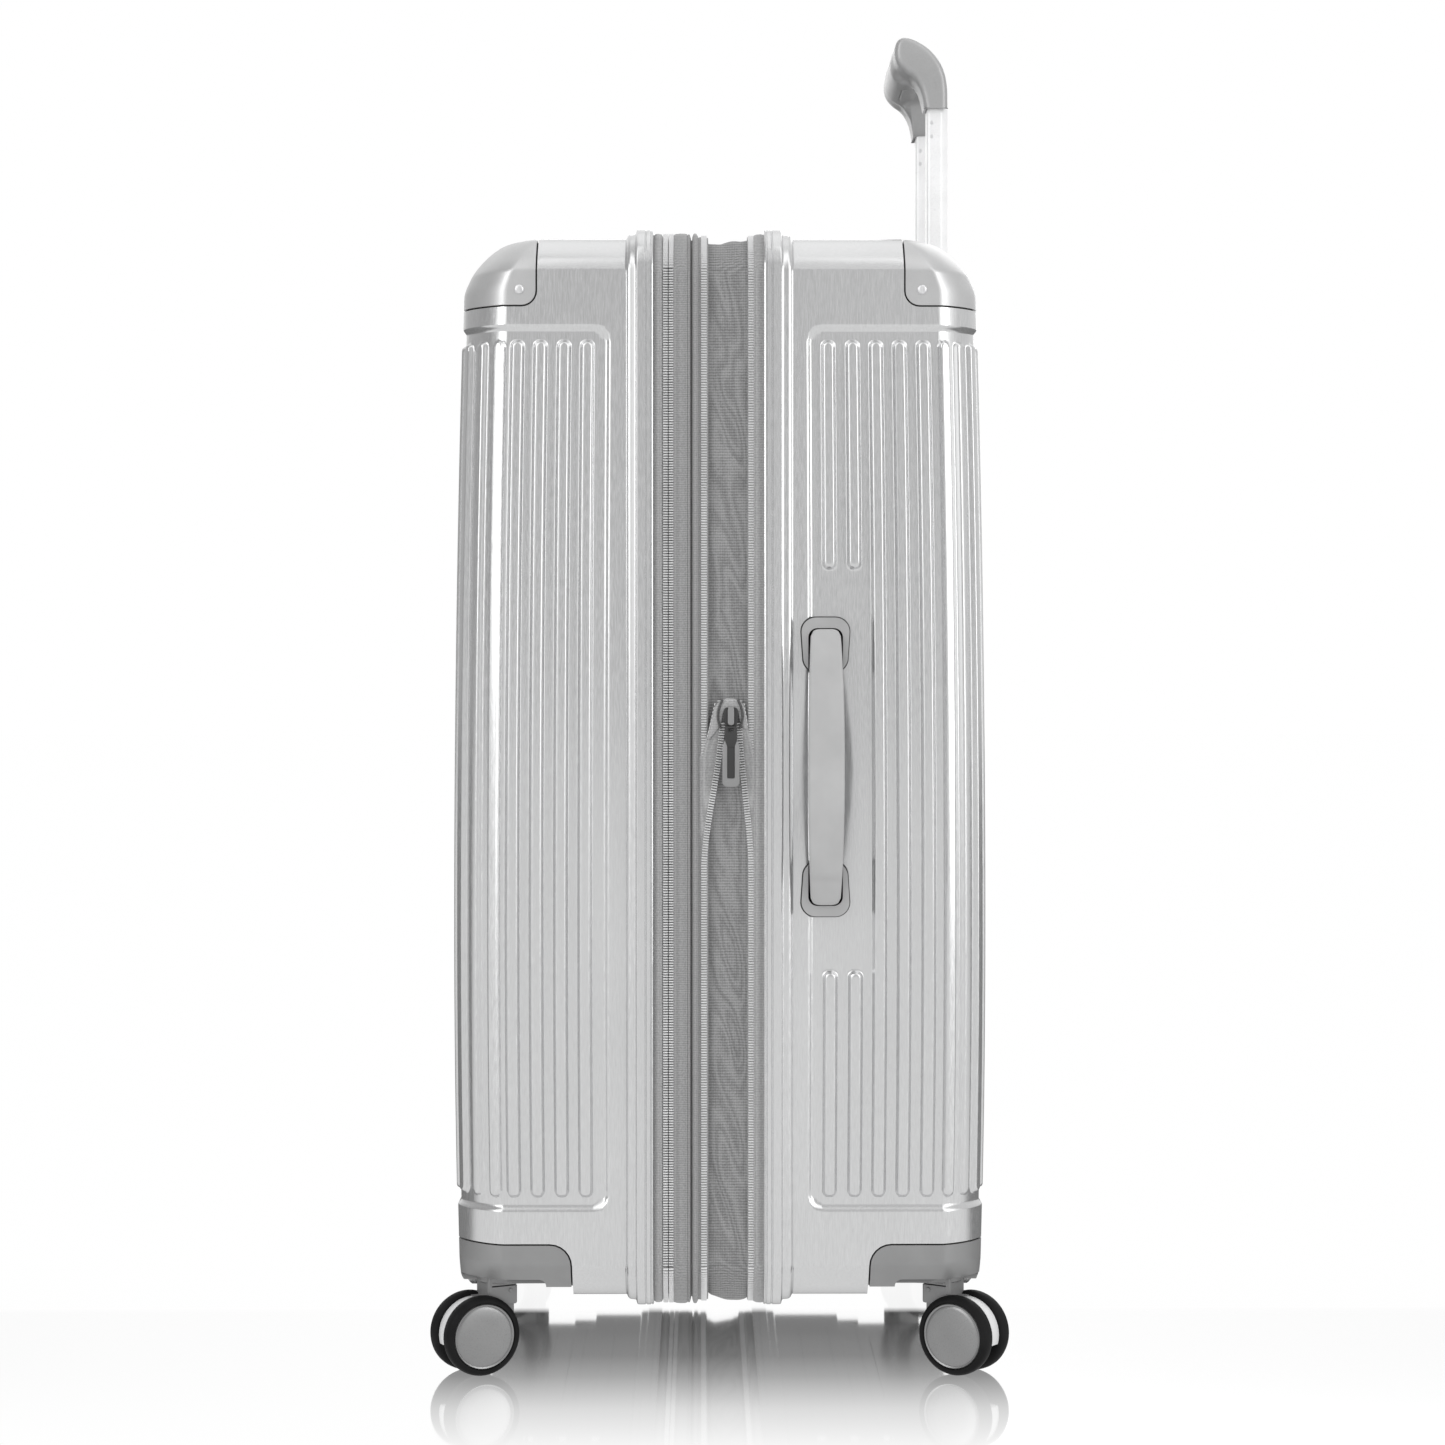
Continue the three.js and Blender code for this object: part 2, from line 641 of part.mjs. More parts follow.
function dialOf(i) {
  const along = new THREE.Vector3(1, 0, 0);
  const at = new THREE.Vector3(dialX(i), DIAL.y, DIAL.z);
  return rod(DIAL.radius, -DIAL.half, DIAL.half, along, at, 16);
}

function releaseOf() {
  const { x, half, front, back, sunk, proud } = RELEASE;
  return box(x - half, x + half, front, back, LOCK.high - sunk, LOCK.high + proud);
}

// Two elastic straps cross in the open mouth of the back half, under a buckle.
function crossStrap() {
  const lean = Math.atan2(420, 490);
  const strip = (turn) => {
    const geometry = new THREE.BoxGeometry(680, 1.2, 25);
    geometry.rotateY(turn);
    geometry.translate(0, 37, 410);
    return solid(geometry);
  };
  return strip(lean).add(strip(-lean)).intersect(box(-253.4, 253.4, 0, 100, 0, BEYOND));
}

function buckle() {
  const plate = extrude(roundedRectangle(56, 38, 8), 6);
  return placed(plate, facing([1, 0, 0], [0, 0, 1], [0, 36, 410]));
}

// ---- Assembly ----
function finish(color, roughness, metalness) {
  return new THREE.MeshStandardMaterial({ color, roughness, metalness });
}

const shellFinish = finish(0xb9babb, 0.32, 0.75);
const guardFinish = finish(0xa3a4a5, 0.4, 0.5);
const plasticFinish = finish(0x8f9091, 0.5, 0.1);
const fabricFinish = finish(0x8b8b8b, 0.95, 0);
const gussetFinish = finish(0x7c7c7c, 0.95, 0);
const tubeFinish = finish(0xe6e6e6, 0.25, 0.9);
const gripFinish = finish(0x9a9b9c, 0.5, 0.1);
const tyreFinish = finish(0x454545, 0.7, 0);
const metalFinish = finish(0x6d6e70, 0.35, 0.9);

// The case is drawn a little short and high. These bring every height but the casters' to its place.
const CASE_HEIGHTS = new THREE.Matrix4().makeScale(1, 1, HEIGHT_STRETCH).setPosition(0, 0, -HEIGHT_DROP);
const FLOOR_HEIGHTS = new THREE.Matrix4();

const suitcase = new THREE.Group();
suitcase.name = "suitcase";
suitcase.position.x = MIDDLE_X;

function add(name, made, material, heights = CASE_HEIGHTS) {
  const mesh = new THREE.Mesh(geometryOf(made).applyMatrix4(heights), material);
  mesh.name = name;
  suitcase.add(mesh);
}

for (const side of [FRONT, BACK]) {
  let shell = shellOf(side);
  if (side === BACK) shell = shell.subtract(trayForm(GAP));
  add(`${side.name}_shell`, shell, shellFinish);
  add(`${side.name}_lining`, liningOf(side), fabricFinish);
  for (const [handName, hand] of HANDS) {
    add(`${side.name}_corner_guard_${handName}`, guardOf(side, hand), guardFinish);
    add(`${side.name}_wheel_housing_${handName}`, housingOf(side, hand), plasticFinish);
    add(`${side.name}_caster_fork_${handName}`, forkOf(side, hand), plasticFinish, FLOOR_HEIGHTS);
    add(`${side.name}_wheel_outer_${handName}`, wheelOf(side, hand, 1), tyreFinish, FLOOR_HEIGHTS);
    add(`${side.name}_wheel_inner_${handName}`, wheelOf(side, hand, -1), tyreFinish, FLOOR_HEIGHTS);
  }
}

add("front_zip_tape", frontTape(), fabricFinish);
add("frame_band", frameBand(), fabricFinish);
add("expansion_gusset", gussetBand(), gussetFinish);
add("back_zip_tape", backTape(), fabricFinish);
add("hinge_strip", hingeStrip(), fabricFinish);

for (const [handName, hand] of HANDS) {
  add(`trolley_outer_tube_${handName}`, tubeFrom(OUTER_TUBE, hand), tubeFinish);
  add(`trolley_middle_tube_${handName}`, tubeFrom(MIDDLE_TUBE, hand), tubeFinish);
  add(`trolley_inner_tube_${handName}`, tubeFrom(INNER_TUBE, hand), tubeFinish);
  add(`main_zip_slider_${handName}`, mainSlider(hand), metalFinish);
  add(`main_zip_pull_${handName}`, mainPull(hand), metalFinish);
  add(`top_handle_plate_${handName}`, plateOf(TOP_HANDLE, hand), gripFinish);
}
add("trolley_tray", trayOf(), plasticFinish);
add("trolley_foot_bracket", tubeFoot(), plasticFinish);
add("trolley_grip", gripOf(), gripFinish);
add("trolley_button", buttonOf(), gripFinish);

add("side_handle_strap", strapOf(SIDE_HANDLE), gripFinish);
add("side_handle_plate_upper", plateOf(SIDE_HANDLE, 1), gripFinish);
add("side_handle_plate_lower", plateOf(SIDE_HANDLE, -1), gripFinish);
add("top_handle_strap", strapOf(TOP_HANDLE), gripFinish);

add("expansion_zip_slider", expansionSlider(), metalFinish);
add("expansion_zip_pull", expansionPull(), metalFinish);
add("expansion_zip_garage", tapeGarage(), fabricFinish);

add("lock_body", lockBody(), plasticFinish);
for (let i = 0; i < DIAL.count; i++) add(`lock_dial_${i + 1}`, dialOf(i), metalFinish);
add("lock_release", releaseOf(), metalFinish);
add("cross_strap", crossStrap(), fabricFinish);
add("strap_buckle", buckle(), plasticFinish);

export default suitcase;
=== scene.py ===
"""A large expandable hard-shell suitcase on spinner casters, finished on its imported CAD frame.

Pieces are drawn in millimetres in the case's own frame (X = 0 is the shells' middle plane, the front
half is at -Y and the floor is Z = 0), and sized() turns them into metres in the row frame.
"""
import math

import bmesh
import bpy
import numpy as np
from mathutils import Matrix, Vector, noise


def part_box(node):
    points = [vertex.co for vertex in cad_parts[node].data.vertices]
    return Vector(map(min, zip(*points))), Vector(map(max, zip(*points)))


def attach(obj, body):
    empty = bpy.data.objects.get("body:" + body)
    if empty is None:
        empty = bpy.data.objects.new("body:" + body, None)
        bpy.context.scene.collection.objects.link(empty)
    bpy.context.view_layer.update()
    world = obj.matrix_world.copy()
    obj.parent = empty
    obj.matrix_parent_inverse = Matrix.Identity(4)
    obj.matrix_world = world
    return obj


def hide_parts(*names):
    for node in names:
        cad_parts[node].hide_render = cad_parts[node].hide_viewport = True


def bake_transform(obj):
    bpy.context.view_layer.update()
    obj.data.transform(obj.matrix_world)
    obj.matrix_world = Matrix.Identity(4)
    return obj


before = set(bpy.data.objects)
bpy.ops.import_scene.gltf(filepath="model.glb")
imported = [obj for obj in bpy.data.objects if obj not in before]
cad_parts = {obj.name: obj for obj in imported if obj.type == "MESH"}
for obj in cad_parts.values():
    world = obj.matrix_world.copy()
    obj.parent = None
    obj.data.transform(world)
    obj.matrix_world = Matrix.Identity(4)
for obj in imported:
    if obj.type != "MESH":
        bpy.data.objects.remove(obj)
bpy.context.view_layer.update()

shell_low, shell_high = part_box("front_shell")
MIDDLE_X = (shell_low.x + shell_high.x) / 2  # metres
MM = 0.001

# ---------------------------------------------------------------- sizes, in millimetres
CASE_HEIGHTS = (1.005, -5.3)  # stretch and shift that bring a drawn height to its place
FLOOR_HEIGHTS = (1.0, 0.0)  # the casters are drawn at their own heights above the floor
heights = [CASE_HEIGHTS]
HALF_WIDTH = 260
TOP, BOTTOM = 770, 60
MID_HEIGHT = (TOP + BOTTOM) / 2
EDGE_REACH = 24  # rounding between a side face and the top or bottom
FACE_RISE, FACE_RUN = 38, 28  # rounding between the top or bottom and the front or back face
FOOT_RISE, FOOT_RUN = 11, 6  # the same at the bottom
ROUNDING = 1.4  # superellipse power of the soft chamfers
EDGE_ROUNDING = 1.22
BOW, BOW_HEIGHT = 2.2, 300  # the big faces stand out most at this height
LEAN_IN, TUCK_IN = 6.3, 2.4  # and fall back towards the top and the bottom
WALL = 5.5
RIB_HALF, RIB_SOFT, RIB_HEIGHT = 5.4, 2.8, 3.3
RIB_LOW, RIB_HIGH = 128.2, 700.5
RIB_PITCH = 16.3
FACE_RIBS = 14  # ribs on each half of a big face
PANEL_LOW, PANEL_HIGH, PANEL_RADIUS = 121.5, 708, 10
PANEL_DEPTH, PANEL_SOFT = 2.3, 3.8
HANDLE_GAP = (280.6, 546.7)  # the ribs beside the carry handle stop here
DISH = {"depth": 40.5, "half": 23, "z": 414, "tall": 78, "sink": 1.9}
UNDER_RIBS = (42, 65, 88)  # ribs under the case, from a shell's open edge

GUARD = {"x": 205, "y": 123.6, "z": 723, "radius": 9.5}
HOUSING = {"x": 200, "y": 100.6, "top": 96.8, "low": 72.5, "radius": 14}
HOUSING_WALL = 17  # from a housing's inner edges to its wheel well
SEAM = 1.1  # dark line round the corner pieces

SIDES = {
    "front": {
        "out": -1, "edge": -45, "face": -178, "reach": 32.5, "panel": 31,
        "ribs": (93.1, 77.3, 61.2, 45.2), "corner_ribs": (6.2, 22, 37.5), "heading": 28,
    },
    "back": {
        "out": 1, "edge": 29, "face": 177.5, "reach": 29, "panel": 30.7,
        "ribs": (108.9, 92.6, 76.5, 60.5, 43.8), "corner_ribs": (4.5, 18.5, 32), "heading": 35,
    },
}
HANDS = {"left": -1, "right": 1}


def smooth(t):
    t = np.clip(t, 0, 1)
    return t * t * (3 - 2 * t)


# ---------------------------------------------------------------- camera and light
LENS = 76.9
CAMERA = Vector((2.324 + MIDDLE_X, -0.0138, 0.4642))
YAW, PITCH = math.radians(0.417), math.radians(0.603)

camera = bpy.data.objects.new("camera", bpy.data.cameras.new("camera"))
bpy.context.scene.collection.objects.link(camera)
camera.data.lens = LENS
camera.data.sensor_width = 36
camera.data.clip_end = 60
camera.location = CAMERA
look = Vector((-1, math.tan(YAW), -math.tan(PITCH)))
camera.rotation_euler = look.to_track_quat("-Z", "Y").to_euler()
bpy.context.scene.camera = camera
bpy.context.scene.view_settings.view_transform = "Standard"


def area_light(name, at, aim, width, height, power):
    data = bpy.data.lights.new(name, "AREA")
    data.shape = "RECTANGLE"
    data.size = width
    data.size_y = height
    data.energy = power
    lamp = bpy.data.objects.new(name, data)
    bpy.context.scene.collection.objects.link(lamp)
    lamp.location = at
    lamp.rotation_euler = (Vector(aim) - Vector(at)).to_track_quat("-Z", "Y").to_euler()


area_light("key_light", (2.0, -2.4, 1.7), (0, 0, 0.45), 1.0, 2.4, 15)
area_light("fill_light", (1.8, 2.6, 1.3), (0, 0, 0.45), 0.9, 2.4, 14)
area_light("top_light", (0.3, 0, 2.8), (0, 0, 0.4), 2.4, 2.4, 3)
area_light("back_light", (-2.6, 0.6, 1.8), (0, 0, 0.5), 2.2, 2.2, 16)

world = bpy.data.worlds.new("studio")
bpy.context.scene.world = world
world.use_nodes = True


SCREENS = (
    (-180, 1.0), (-145, 0.9), (-124, 0.5), (-80, 0.32), (-62, 0.8), (-44, 1.7), (-24, 1.1), (-9, 0.5),
    (0, 0.58), (7, 0.66), (16, 0.5), (26, 0.62), (44, 1.6), (66, 1.4), (86, 0.7), (112, 0.72), (145, 0.9),
    (180, 1.0),
)  # degrees round the studio, and how bright it is there


def fill_ramp(node, stops):
    """Gives a colour ramp its stops, each a position from 0 to 1 and a grey."""
    while len(node.color_ramp.elements) < len(stops):
        node.color_ramp.elements.new(0.5)
    for element, (position, grey) in zip(node.color_ramp.elements, stops):
        element.position = position
        element.color = (grey, grey, grey, 1)


def map_range(nodes, links, value, **ends):
    """A value carried from one range to another. The ends are named From_Min, From_Max, To_Min, To_Max."""
    node = nodes.new("ShaderNodeMapRange")
    for key, end in ends.items():
        node.inputs[key.replace("_", " ")].default_value = end
    links.new(value, node.inputs["Value"])
    return node.outputs[0]


def build_world():
    """Seen directly, the studio is white. As a light, it is a ring of bright and dim screens."""
    nodes, links = world.node_tree.nodes, world.node_tree.links
    nodes.clear()
    where = nodes.new("ShaderNodeTexCoord")
    round_about = nodes.new("ShaderNodeTexGradient")
    round_about.gradient_type = "RADIAL"
    links.new(where.outputs["Generated"], round_about.inputs[0])
    ramp = nodes.new("ShaderNodeValToRGB")
    fill_ramp(ramp, [(degrees / 360 + 0.5, grey) for degrees, grey in SCREENS])
    links.new(round_about.outputs["Fac"], ramp.inputs["Fac"])
    lit = nodes.new("ShaderNodeBackground")
    links.new(ramp.outputs["Color"], lit.inputs["Color"])
    seen = nodes.new("ShaderNodeBackground")
    seen.inputs["Color"].default_value = (1, 1, 1, 1)
    path = nodes.new("ShaderNodeLightPath")
    mix = nodes.new("ShaderNodeMixShader")
    links.new(path.outputs["Is Camera Ray"], mix.inputs["Fac"])
    links.new(lit.outputs[0], mix.inputs[1])
    links.new(seen.outputs[0], mix.inputs[2])
    out = nodes.new("ShaderNodeOutputWorld")
    links.new(mix.outputs[0], out.inputs["Surface"])


build_world()


# ---------------------------------------------------------------- materials
class Look:
    """A material's node tree, with short calls for the nodes that the finishes share."""

    def __init__(self, name, color, roughness, metallic=0.0, **sockets):
        self.material = bpy.data.materials.new(name)
        self.material.use_nodes = True
        self.nodes = self.material.node_tree.nodes
        self.links = self.material.node_tree.links
        self.shader = self.nodes["Principled BSDF"]
        self.color = color
        self.shader.inputs["Base Color"].default_value = (*color, 1)
        self.shader.inputs["Roughness"].default_value = roughness
        self.shader.inputs["Metallic"].default_value = metallic
        for key, value in sockets.items():
            self.shader.inputs[key.replace("_", " ")].default_value = value
        self.where = self.nodes.new("ShaderNodeTexCoord").outputs["Object"]
        self.heights = []

    def spot(self, scale):
        """Object coordinates, in metres, stretched by a scale for each axis."""
        node = self.nodes.new("ShaderNodeMapping")
        node.inputs["Scale"].default_value = scale
        self.links.new(self.where, node.inputs["Vector"])
        return node.outputs[0]

    def noise(self, scale, stretch=(1, 1, 1), detail=2.0):
        node = self.nodes.new("ShaderNodeTexNoise")
        node.inputs["Scale"].default_value = scale
        node.inputs["Detail"].default_value = detail
        self.links.new(self.spot(stretch), node.inputs["Vector"])
        return node.outputs["Fac"]

    def bands(self, axis, period, sharp=0.0):
        """Waves across one axis: `period` is in metres."""
        node = self.nodes.new("ShaderNodeTexWave")
        node.bands_direction = axis
        node.inputs["Scale"].default_value = math.pi / (10 * period)
        node.inputs["Distortion"].default_value = sharp
        node.inputs["Detail"].default_value = 0
        self.links.new(self.where, node.inputs["Vector"])
        return node.outputs["Fac"]

    def math(self, operation, a, b):
        node = self.nodes.new("ShaderNodeMath")
        node.operation = operation
        for slot, value in enumerate((a, b)):
            if isinstance(value, (int, float)):
                node.inputs[slot].default_value = value
            else:
                self.links.new(value, node.inputs[slot])
        return node.outputs[0]

    def spread(self, value, low, high):
        """The middle of a noise's range, carried to low and high."""
        return map_range(self.nodes, self.links, value, From_Min=0.3, From_Max=0.7, To_Min=low, To_Max=high)

    def vary_color(self, value, low, high):
        """Base colour between low and high times the look's own colour."""
        mix = self.nodes.new("ShaderNodeMix")
        mix.data_type = "RGBA"
        mix.inputs["A"].default_value = (*[c * low for c in self.color], 1)
        mix.inputs["B"].default_value = (*[min(1, c * high) for c in self.color], 1)
        self.links.new(self.spread(value, 0, 1), mix.inputs["Factor"])
        self.links.new(mix.outputs["Result"], self.shader.inputs["Base Color"])

    def vary_roughness(self, value, low, high):
        self.links.new(self.spread(value, low, high), self.shader.inputs["Roughness"])

    def bump(self, height, distance, strength=1.0):
        node = self.nodes.new("ShaderNodeBump")
        node.inputs["Distance"].default_value = distance
        node.inputs["Strength"].default_value = strength
        self.links.new(height, node.inputs["Height"])
        if self.heights:
            self.links.new(self.heights[-1], node.inputs["Normal"])
        self.heights.append(node.outputs[0])
        self.links.new(node.outputs[0], self.shader.inputs["Normal"])


def brushed(name, grey, roughness, metallic):
    """Metallic moulded plastic with fine short brushed strokes."""
    look = Look(name, (grey, grey * 1.003, grey * 1.008), roughness, metallic)
    strokes = look.noise(1500, (1, 1, 0.09), 4)
    drift = look.noise(14, (1, 1, 0.4), 3)
    look.vary_color(look.math("ADD", look.math("MULTIPLY", strokes, 0.7), look.math("MULTIPLY", drift, 0.3)),
                    0.91, 1.07)
    look.vary_roughness(strokes, roughness - 0.04, roughness + 0.09)
    return look.material


def moulded(name, grey, roughness, metallic=0.0, grainy=0.00003):
    """Satin plastic with a fine even grain."""
    look = Look(name, (grey, grey * 1.002, grey * 1.005), roughness, metallic)
    grain = look.noise(2600, (1, 1, 1), 2)
    cloud = look.noise(35, (1, 1, 1), 3)
    look.vary_color(cloud, 0.93, 1.05)
    look.vary_roughness(grain, roughness - 0.06, roughness + 0.08)
    if grainy:
        look.bump(grain, grainy)
    return look.material


def woven(name, grey, period, relief, tone=(0.78, 1.12)):
    """Woven fabric: crossed waves along all three axes, so every face shows two of them."""
    look = Look(name, (grey, grey, grey * 1.005), 0.86, 0.0, Sheen_Weight=0.25, Sheen_Roughness=0.5)
    rows = look.bands("Z", period)
    warp = look.math("MULTIPLY", look.bands("Y", period * 0.62), 0.6)
    weft = look.math("MULTIPLY", look.bands("X", period * 0.62), 0.6)
    weave = look.math("MULTIPLY", look.math("ADD", rows, look.math("ADD", warp, weft)), 0.45)
    fuzz = look.noise(950, (1, 1, 1), 3)
    cloth = look.math("ADD", look.math("MULTIPLY", weave, 0.5), look.math("MULTIPLY", fuzz, 0.5))
    look.vary_color(cloth, *tone)
    look.bump(cloth, relief)
    return look.material


def metal(name, grey, roughness, metallic=1.0):
    """Metal with slight streaks of wear."""
    look = Look(name, (grey, grey, grey * 1.01), roughness, metallic)
    wear = look.noise(700, (1, 1, 0.3), 3)
    look.vary_color(wear, 0.85, 1.1)
    look.vary_roughness(wear, roughness - 0.05, roughness + 0.1)
    look.bump(wear, 0.00003)
    return look.material


def rubber(name, grey):
    """Dull rubber with a fine grain and patches of dust."""
    look = Look(name, (grey, grey, grey * 1.02), 0.5, 0.0, Specular_IOR_Level=0.06)
    grain = look.noise(1800, (1, 1, 1), 3)
    dust = look.noise(60, (1, 1, 1), 3)
    look.vary_color(dust, 0.8, 1.25)
    look.vary_roughness(grain, 0.45, 0.65)
    look.bump(grain, 0.00005)
    return look.material


SHELL = brushed("shell_finish", 0.7, 0.17, 0.86)
GUARD_LOOK = moulded("guard_finish", 0.58, 0.33, 0.6, 0)
HOUSING_LOOK = moulded("housing_finish", 0.31, 0.38, 0.45)
FORK_LOOK = moulded("fork_finish", 0.27, 0.4, 0.2)
FENDER_LOOK = moulded("fender_finish", 0.75, 0.35)
CAP_LOOK = moulded("wheel_cap_finish", 0.29, 0.3, 0.7, 0)
TYRE = rubber("tyre_finish", 0.014)
GRIP_LOOK = moulded("grip_finish", 0.42, 0.3, 0.2)
STRAP_LOOK = moulded("strap_finish", 0.46, 0.5)
PLATE_LOOK = moulded("plate_finish", 0.44, 0.34, 0.3, 0)
# near-black sheets that paint the shade in the seams round the guards and plates and on the floors of the
# plates' pockets
SHADE_SHEET_LOOK = moulded("painted_shade_finish", 0.02, 0.7)
TUBE_LOOK = moulded("tube_finish", 0.93, 0.3, 0.15, 0)
PULL_LOOK = moulded("pull_finish", 0.045, 0.42, 0.2)
TAB_LOOK = moulded("tab_finish", 0.3, 0.4, 0.3)
RIVET_LOOK = metal("rivet_finish", 0.8, 0.34, 0.8)
TAPE_LOOK = woven("tape_finish", 0.36, 0.0011, 0.00012, (0.62, 1.34))
BAND_LOOK = woven("band_finish", 0.3, 0.0012, 0.00016, (0.66, 1.3))
GUSSET_LOOK = woven("gusset_finish", 0.25, 0.0019, 0.0002, (0.58, 1.36))
COIL_LOOK = moulded("coil_finish", 0.78, 0.36)
LINING_LOOK = woven("lining_finish", 0.12, 0.0016, 0.00015, (0.85, 1.15))
WEB_LOOK = woven("webbing_finish", 0.08, 0.0022, 0.0004, (0.7, 1.3))
THREAD_LOOK = woven("thread_finish", 0.62, 0.0012, 0.0002)


# ---------------------------------------------------------------- from millimetres to pieces
def sized(points):
    """Case millimetres to row-frame metres."""
    stretch, shift = heights[-1]
    placed = np.array(points, float)
    placed[..., 2] = placed[..., 2] * stretch + shift
    return placed * MM + np.array([MIDDLE_X, 0, 0])


def mesh_of(name, points, faces, scaled=True):
    mesh = bpy.data.meshes.new(name)
    mesh.from_pydata((sized(points) if scaled else np.asarray(points)).tolist(), [], faces)
    mesh.update()
    obj = bpy.data.objects.new(name, mesh)
    bpy.context.scene.collection.objects.link(obj)
    return obj


def outward(obj):
    """Turns every face of an object outwards."""
    work = bmesh.new()
    work.from_mesh(obj.data)
    bmesh.ops.recalc_face_normals(work, faces=work.faces)
    work.to_mesh(obj.data)
    work.free()
    obj.data.update()


def solid_of(name, points, faces, scaled=True):
    """A mesh with its faces turned outwards."""
    obj = mesh_of(name, points, faces, scaled)
    outward(obj)
    return obj


def bake(obj):
    """Applies every modifier of an object."""
    bpy.context.view_layer.update()
    graph = bpy.context.evaluated_depsgraph_get()
    done = bpy.data.meshes.new_from_object(obj.evaluated_get(graph))
    obj.modifiers.clear()
    obj.data = done
    done.name = obj.name


def bevel(obj, width, segments=2, angle=40):
    """Rounds the edges that turn by more than an angle in degrees."""
    tool = obj.modifiers.new("bevel", "BEVEL")
    tool.width = width * MM
    tool.segments = segments
    tool.limit_method = "ANGLE"
    tool.angle_limit = math.radians(angle)
    tool.harden_normals = False
    bake(obj)


def thicken(obj, thickness):
    """Gives a sheet of cloth its thickness, half of it to each side."""
    tool = obj.modifiers.new("thick", "SOLIDIFY")
    tool.thickness = thickness * MM
    tool.offset = 0
    bake(obj)
    outward(obj)


def combine(obj, cutter, operation):
    """Joins the cutter to an object, or cuts the object by it, and removes the cutter."""
    tool = obj.modifiers.new("boolean", "BOOLEAN")
    tool.operation = operation
    tool.object = cutter
    tool.solver = "MANIFOLD"
    bake(obj)
    bpy.data.objects.remove(cutter)


def piece(obj, body, material, replaces=(), angle=32, weighted=False):
    """Gives a finished mesh its shading, material and body, and hides the CAD nodes it stands for."""
    mesh = obj.data
    mesh.materials.clear()
    mesh.materials.append(material)
    mesh.shade_smooth()
    mesh.set_sharp_from_angle(angle=math.radians(angle))
    if weighted:
        tool = obj.modifiers.new("weighted", "WEIGHTED_NORMAL")
        tool.keep_sharp = True
        bake(obj)
        obj.data.materials.clear()
        obj.data.materials.append(material)
    if body:
        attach(obj, body)
    if replaces:
        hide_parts(*replaces)
    return obj


def join(objects, name):
    """One object from the meshes of several."""
    points, faces, start = [], [], 0
    for obj in objects:
        points += [obj.matrix_world @ v.co for v in obj.data.vertices]
        faces += [[start + i for i in f.vertices] for f in obj.data.polygons]
        start = len(points)
        bpy.data.objects.remove(obj)
    return solid_of(name, points, faces, scaled=False)


# ---------------------------------------------------------------- basic solids
def box(name, low, high):
    (x0, y0, z0), (x1, y1, z1) = low, high
    points = [(x, y, z) for x in (x0, x1) for y in (y0, y1) for z in (z0, z1)]
    faces = [(0, 1, 3, 2), (4, 6, 7, 5), (0, 4, 5, 1), (2, 3, 7, 6), (0, 2, 6, 4), (1, 5, 7, 3)]
    return solid_of(name, points, faces)


def prism(name, outline, depth, right, up, origin):
    """An outline drawn along right and up, pushed along their cross product by depth (from, to)."""
    r, u, o = (np.array(v, float) for v in (right, up, origin))
    n = np.cross(r, u)
    flat = [o + r * a + u * b for a, b in outline]
    points = [p + n * depth[0] for p in flat] + [p + n * depth[1] for p in flat]
    count = len(flat)
    faces = [tuple(range(count))[::-1], tuple(range(count, 2 * count))]
    faces += [(i, (i + 1) % count, count + (i + 1) % count, count + i) for i in range(count)]
    return solid_of(name, points, faces)


def slab(name, outline, depth, at=(0, 0, 0)):
    """An outline in X and Y, pushed up by depth (from, to)."""
    return prism(name, outline, depth, (1, 0, 0), (0, 1, 0), at)


def rounded(width, height, radius, steps=5, at=(0, 0)):
    """Outline of a rectangle with rounded corners."""
    points = []
    for sx, sy, start in ((1, 1, 0), (-1, 1, 90), (-1, -1, 180), (1, -1, 270)):
        for i in range(steps + 1):
            a = math.radians(start + 90 * i / steps)
            points.append((at[0] + sx * (width / 2 - radius) + radius * math.cos(a),
                           at[1] + sy * (height / 2 - radius) + radius * math.sin(a)))
    return points


def lathe(name, profile, steps, axis, centre):
    """A profile of (radius, height) turned round an axis, with both of its ends on the axis."""
    axis = Vector(axis).normalized()
    side = axis.orthogonal().normalized()
    other = axis.cross(side)
    points, rings = [], []
    for radius, height in profile:
        ring = []
        for i in range(1 if radius < 1e-6 else steps):
            a = 2 * math.pi * i / steps
            ring.append(len(points))
            points.append(Vector(centre) + axis * height
                          + (side * math.cos(a) + other * math.sin(a)) * radius)
        rings.append(ring)
    faces = []
    for low, high in zip(rings, rings[1:]):
        for i in range(steps):
            j = (i + 1) % steps
            quad = [low[i % len(low)], low[j % len(low)], high[j % len(high)], high[i % len(high)]]
            quad = list(dict.fromkeys(quad))
            if len(quad) > 2:
                faces.append(quad)
    return solid_of(name, [tuple(p) for p in points], faces)


def grid_faces(rows, columns, wrap_rows=False, wrap_columns=False):
    """The four-sided faces of a grid of points given row by row."""
    faces = []
    for r in range(rows if wrap_rows else rows - 1):
        for c in range(columns if wrap_columns else columns - 1):
            r1, c1 = (r + 1) % rows, (c + 1) % columns
            faces.append((r * columns + c, r * columns + c1, r1 * columns + c1, r1 * columns + c))
    return faces


def end_faces(rows, columns):
    """A grid's first and last row, each as one face."""
    return [tuple(range(columns)), tuple(range((rows - 1) * columns, rows * columns))[::-1]]


# ---------------------------------------------------------------- the shells
def soft_corner(reach_a, reach_b, steps):
    """A quarter superellipse from (0, reach_b) to (reach_a, 0), with its outward normals."""
    a = np.linspace(0, math.pi / 2, steps)
    x, y = np.sin(a) ** (2 / ROUNDING), np.cos(a) ** (2 / ROUNDING)
    nx, ny = x ** (ROUNDING - 1) / reach_a, y ** (ROUNDING - 1) / reach_b
    size = np.hypot(nx, ny)
    return np.stack([x * reach_a, y * reach_b], 1), np.stack([nx / size, ny / size], 1)


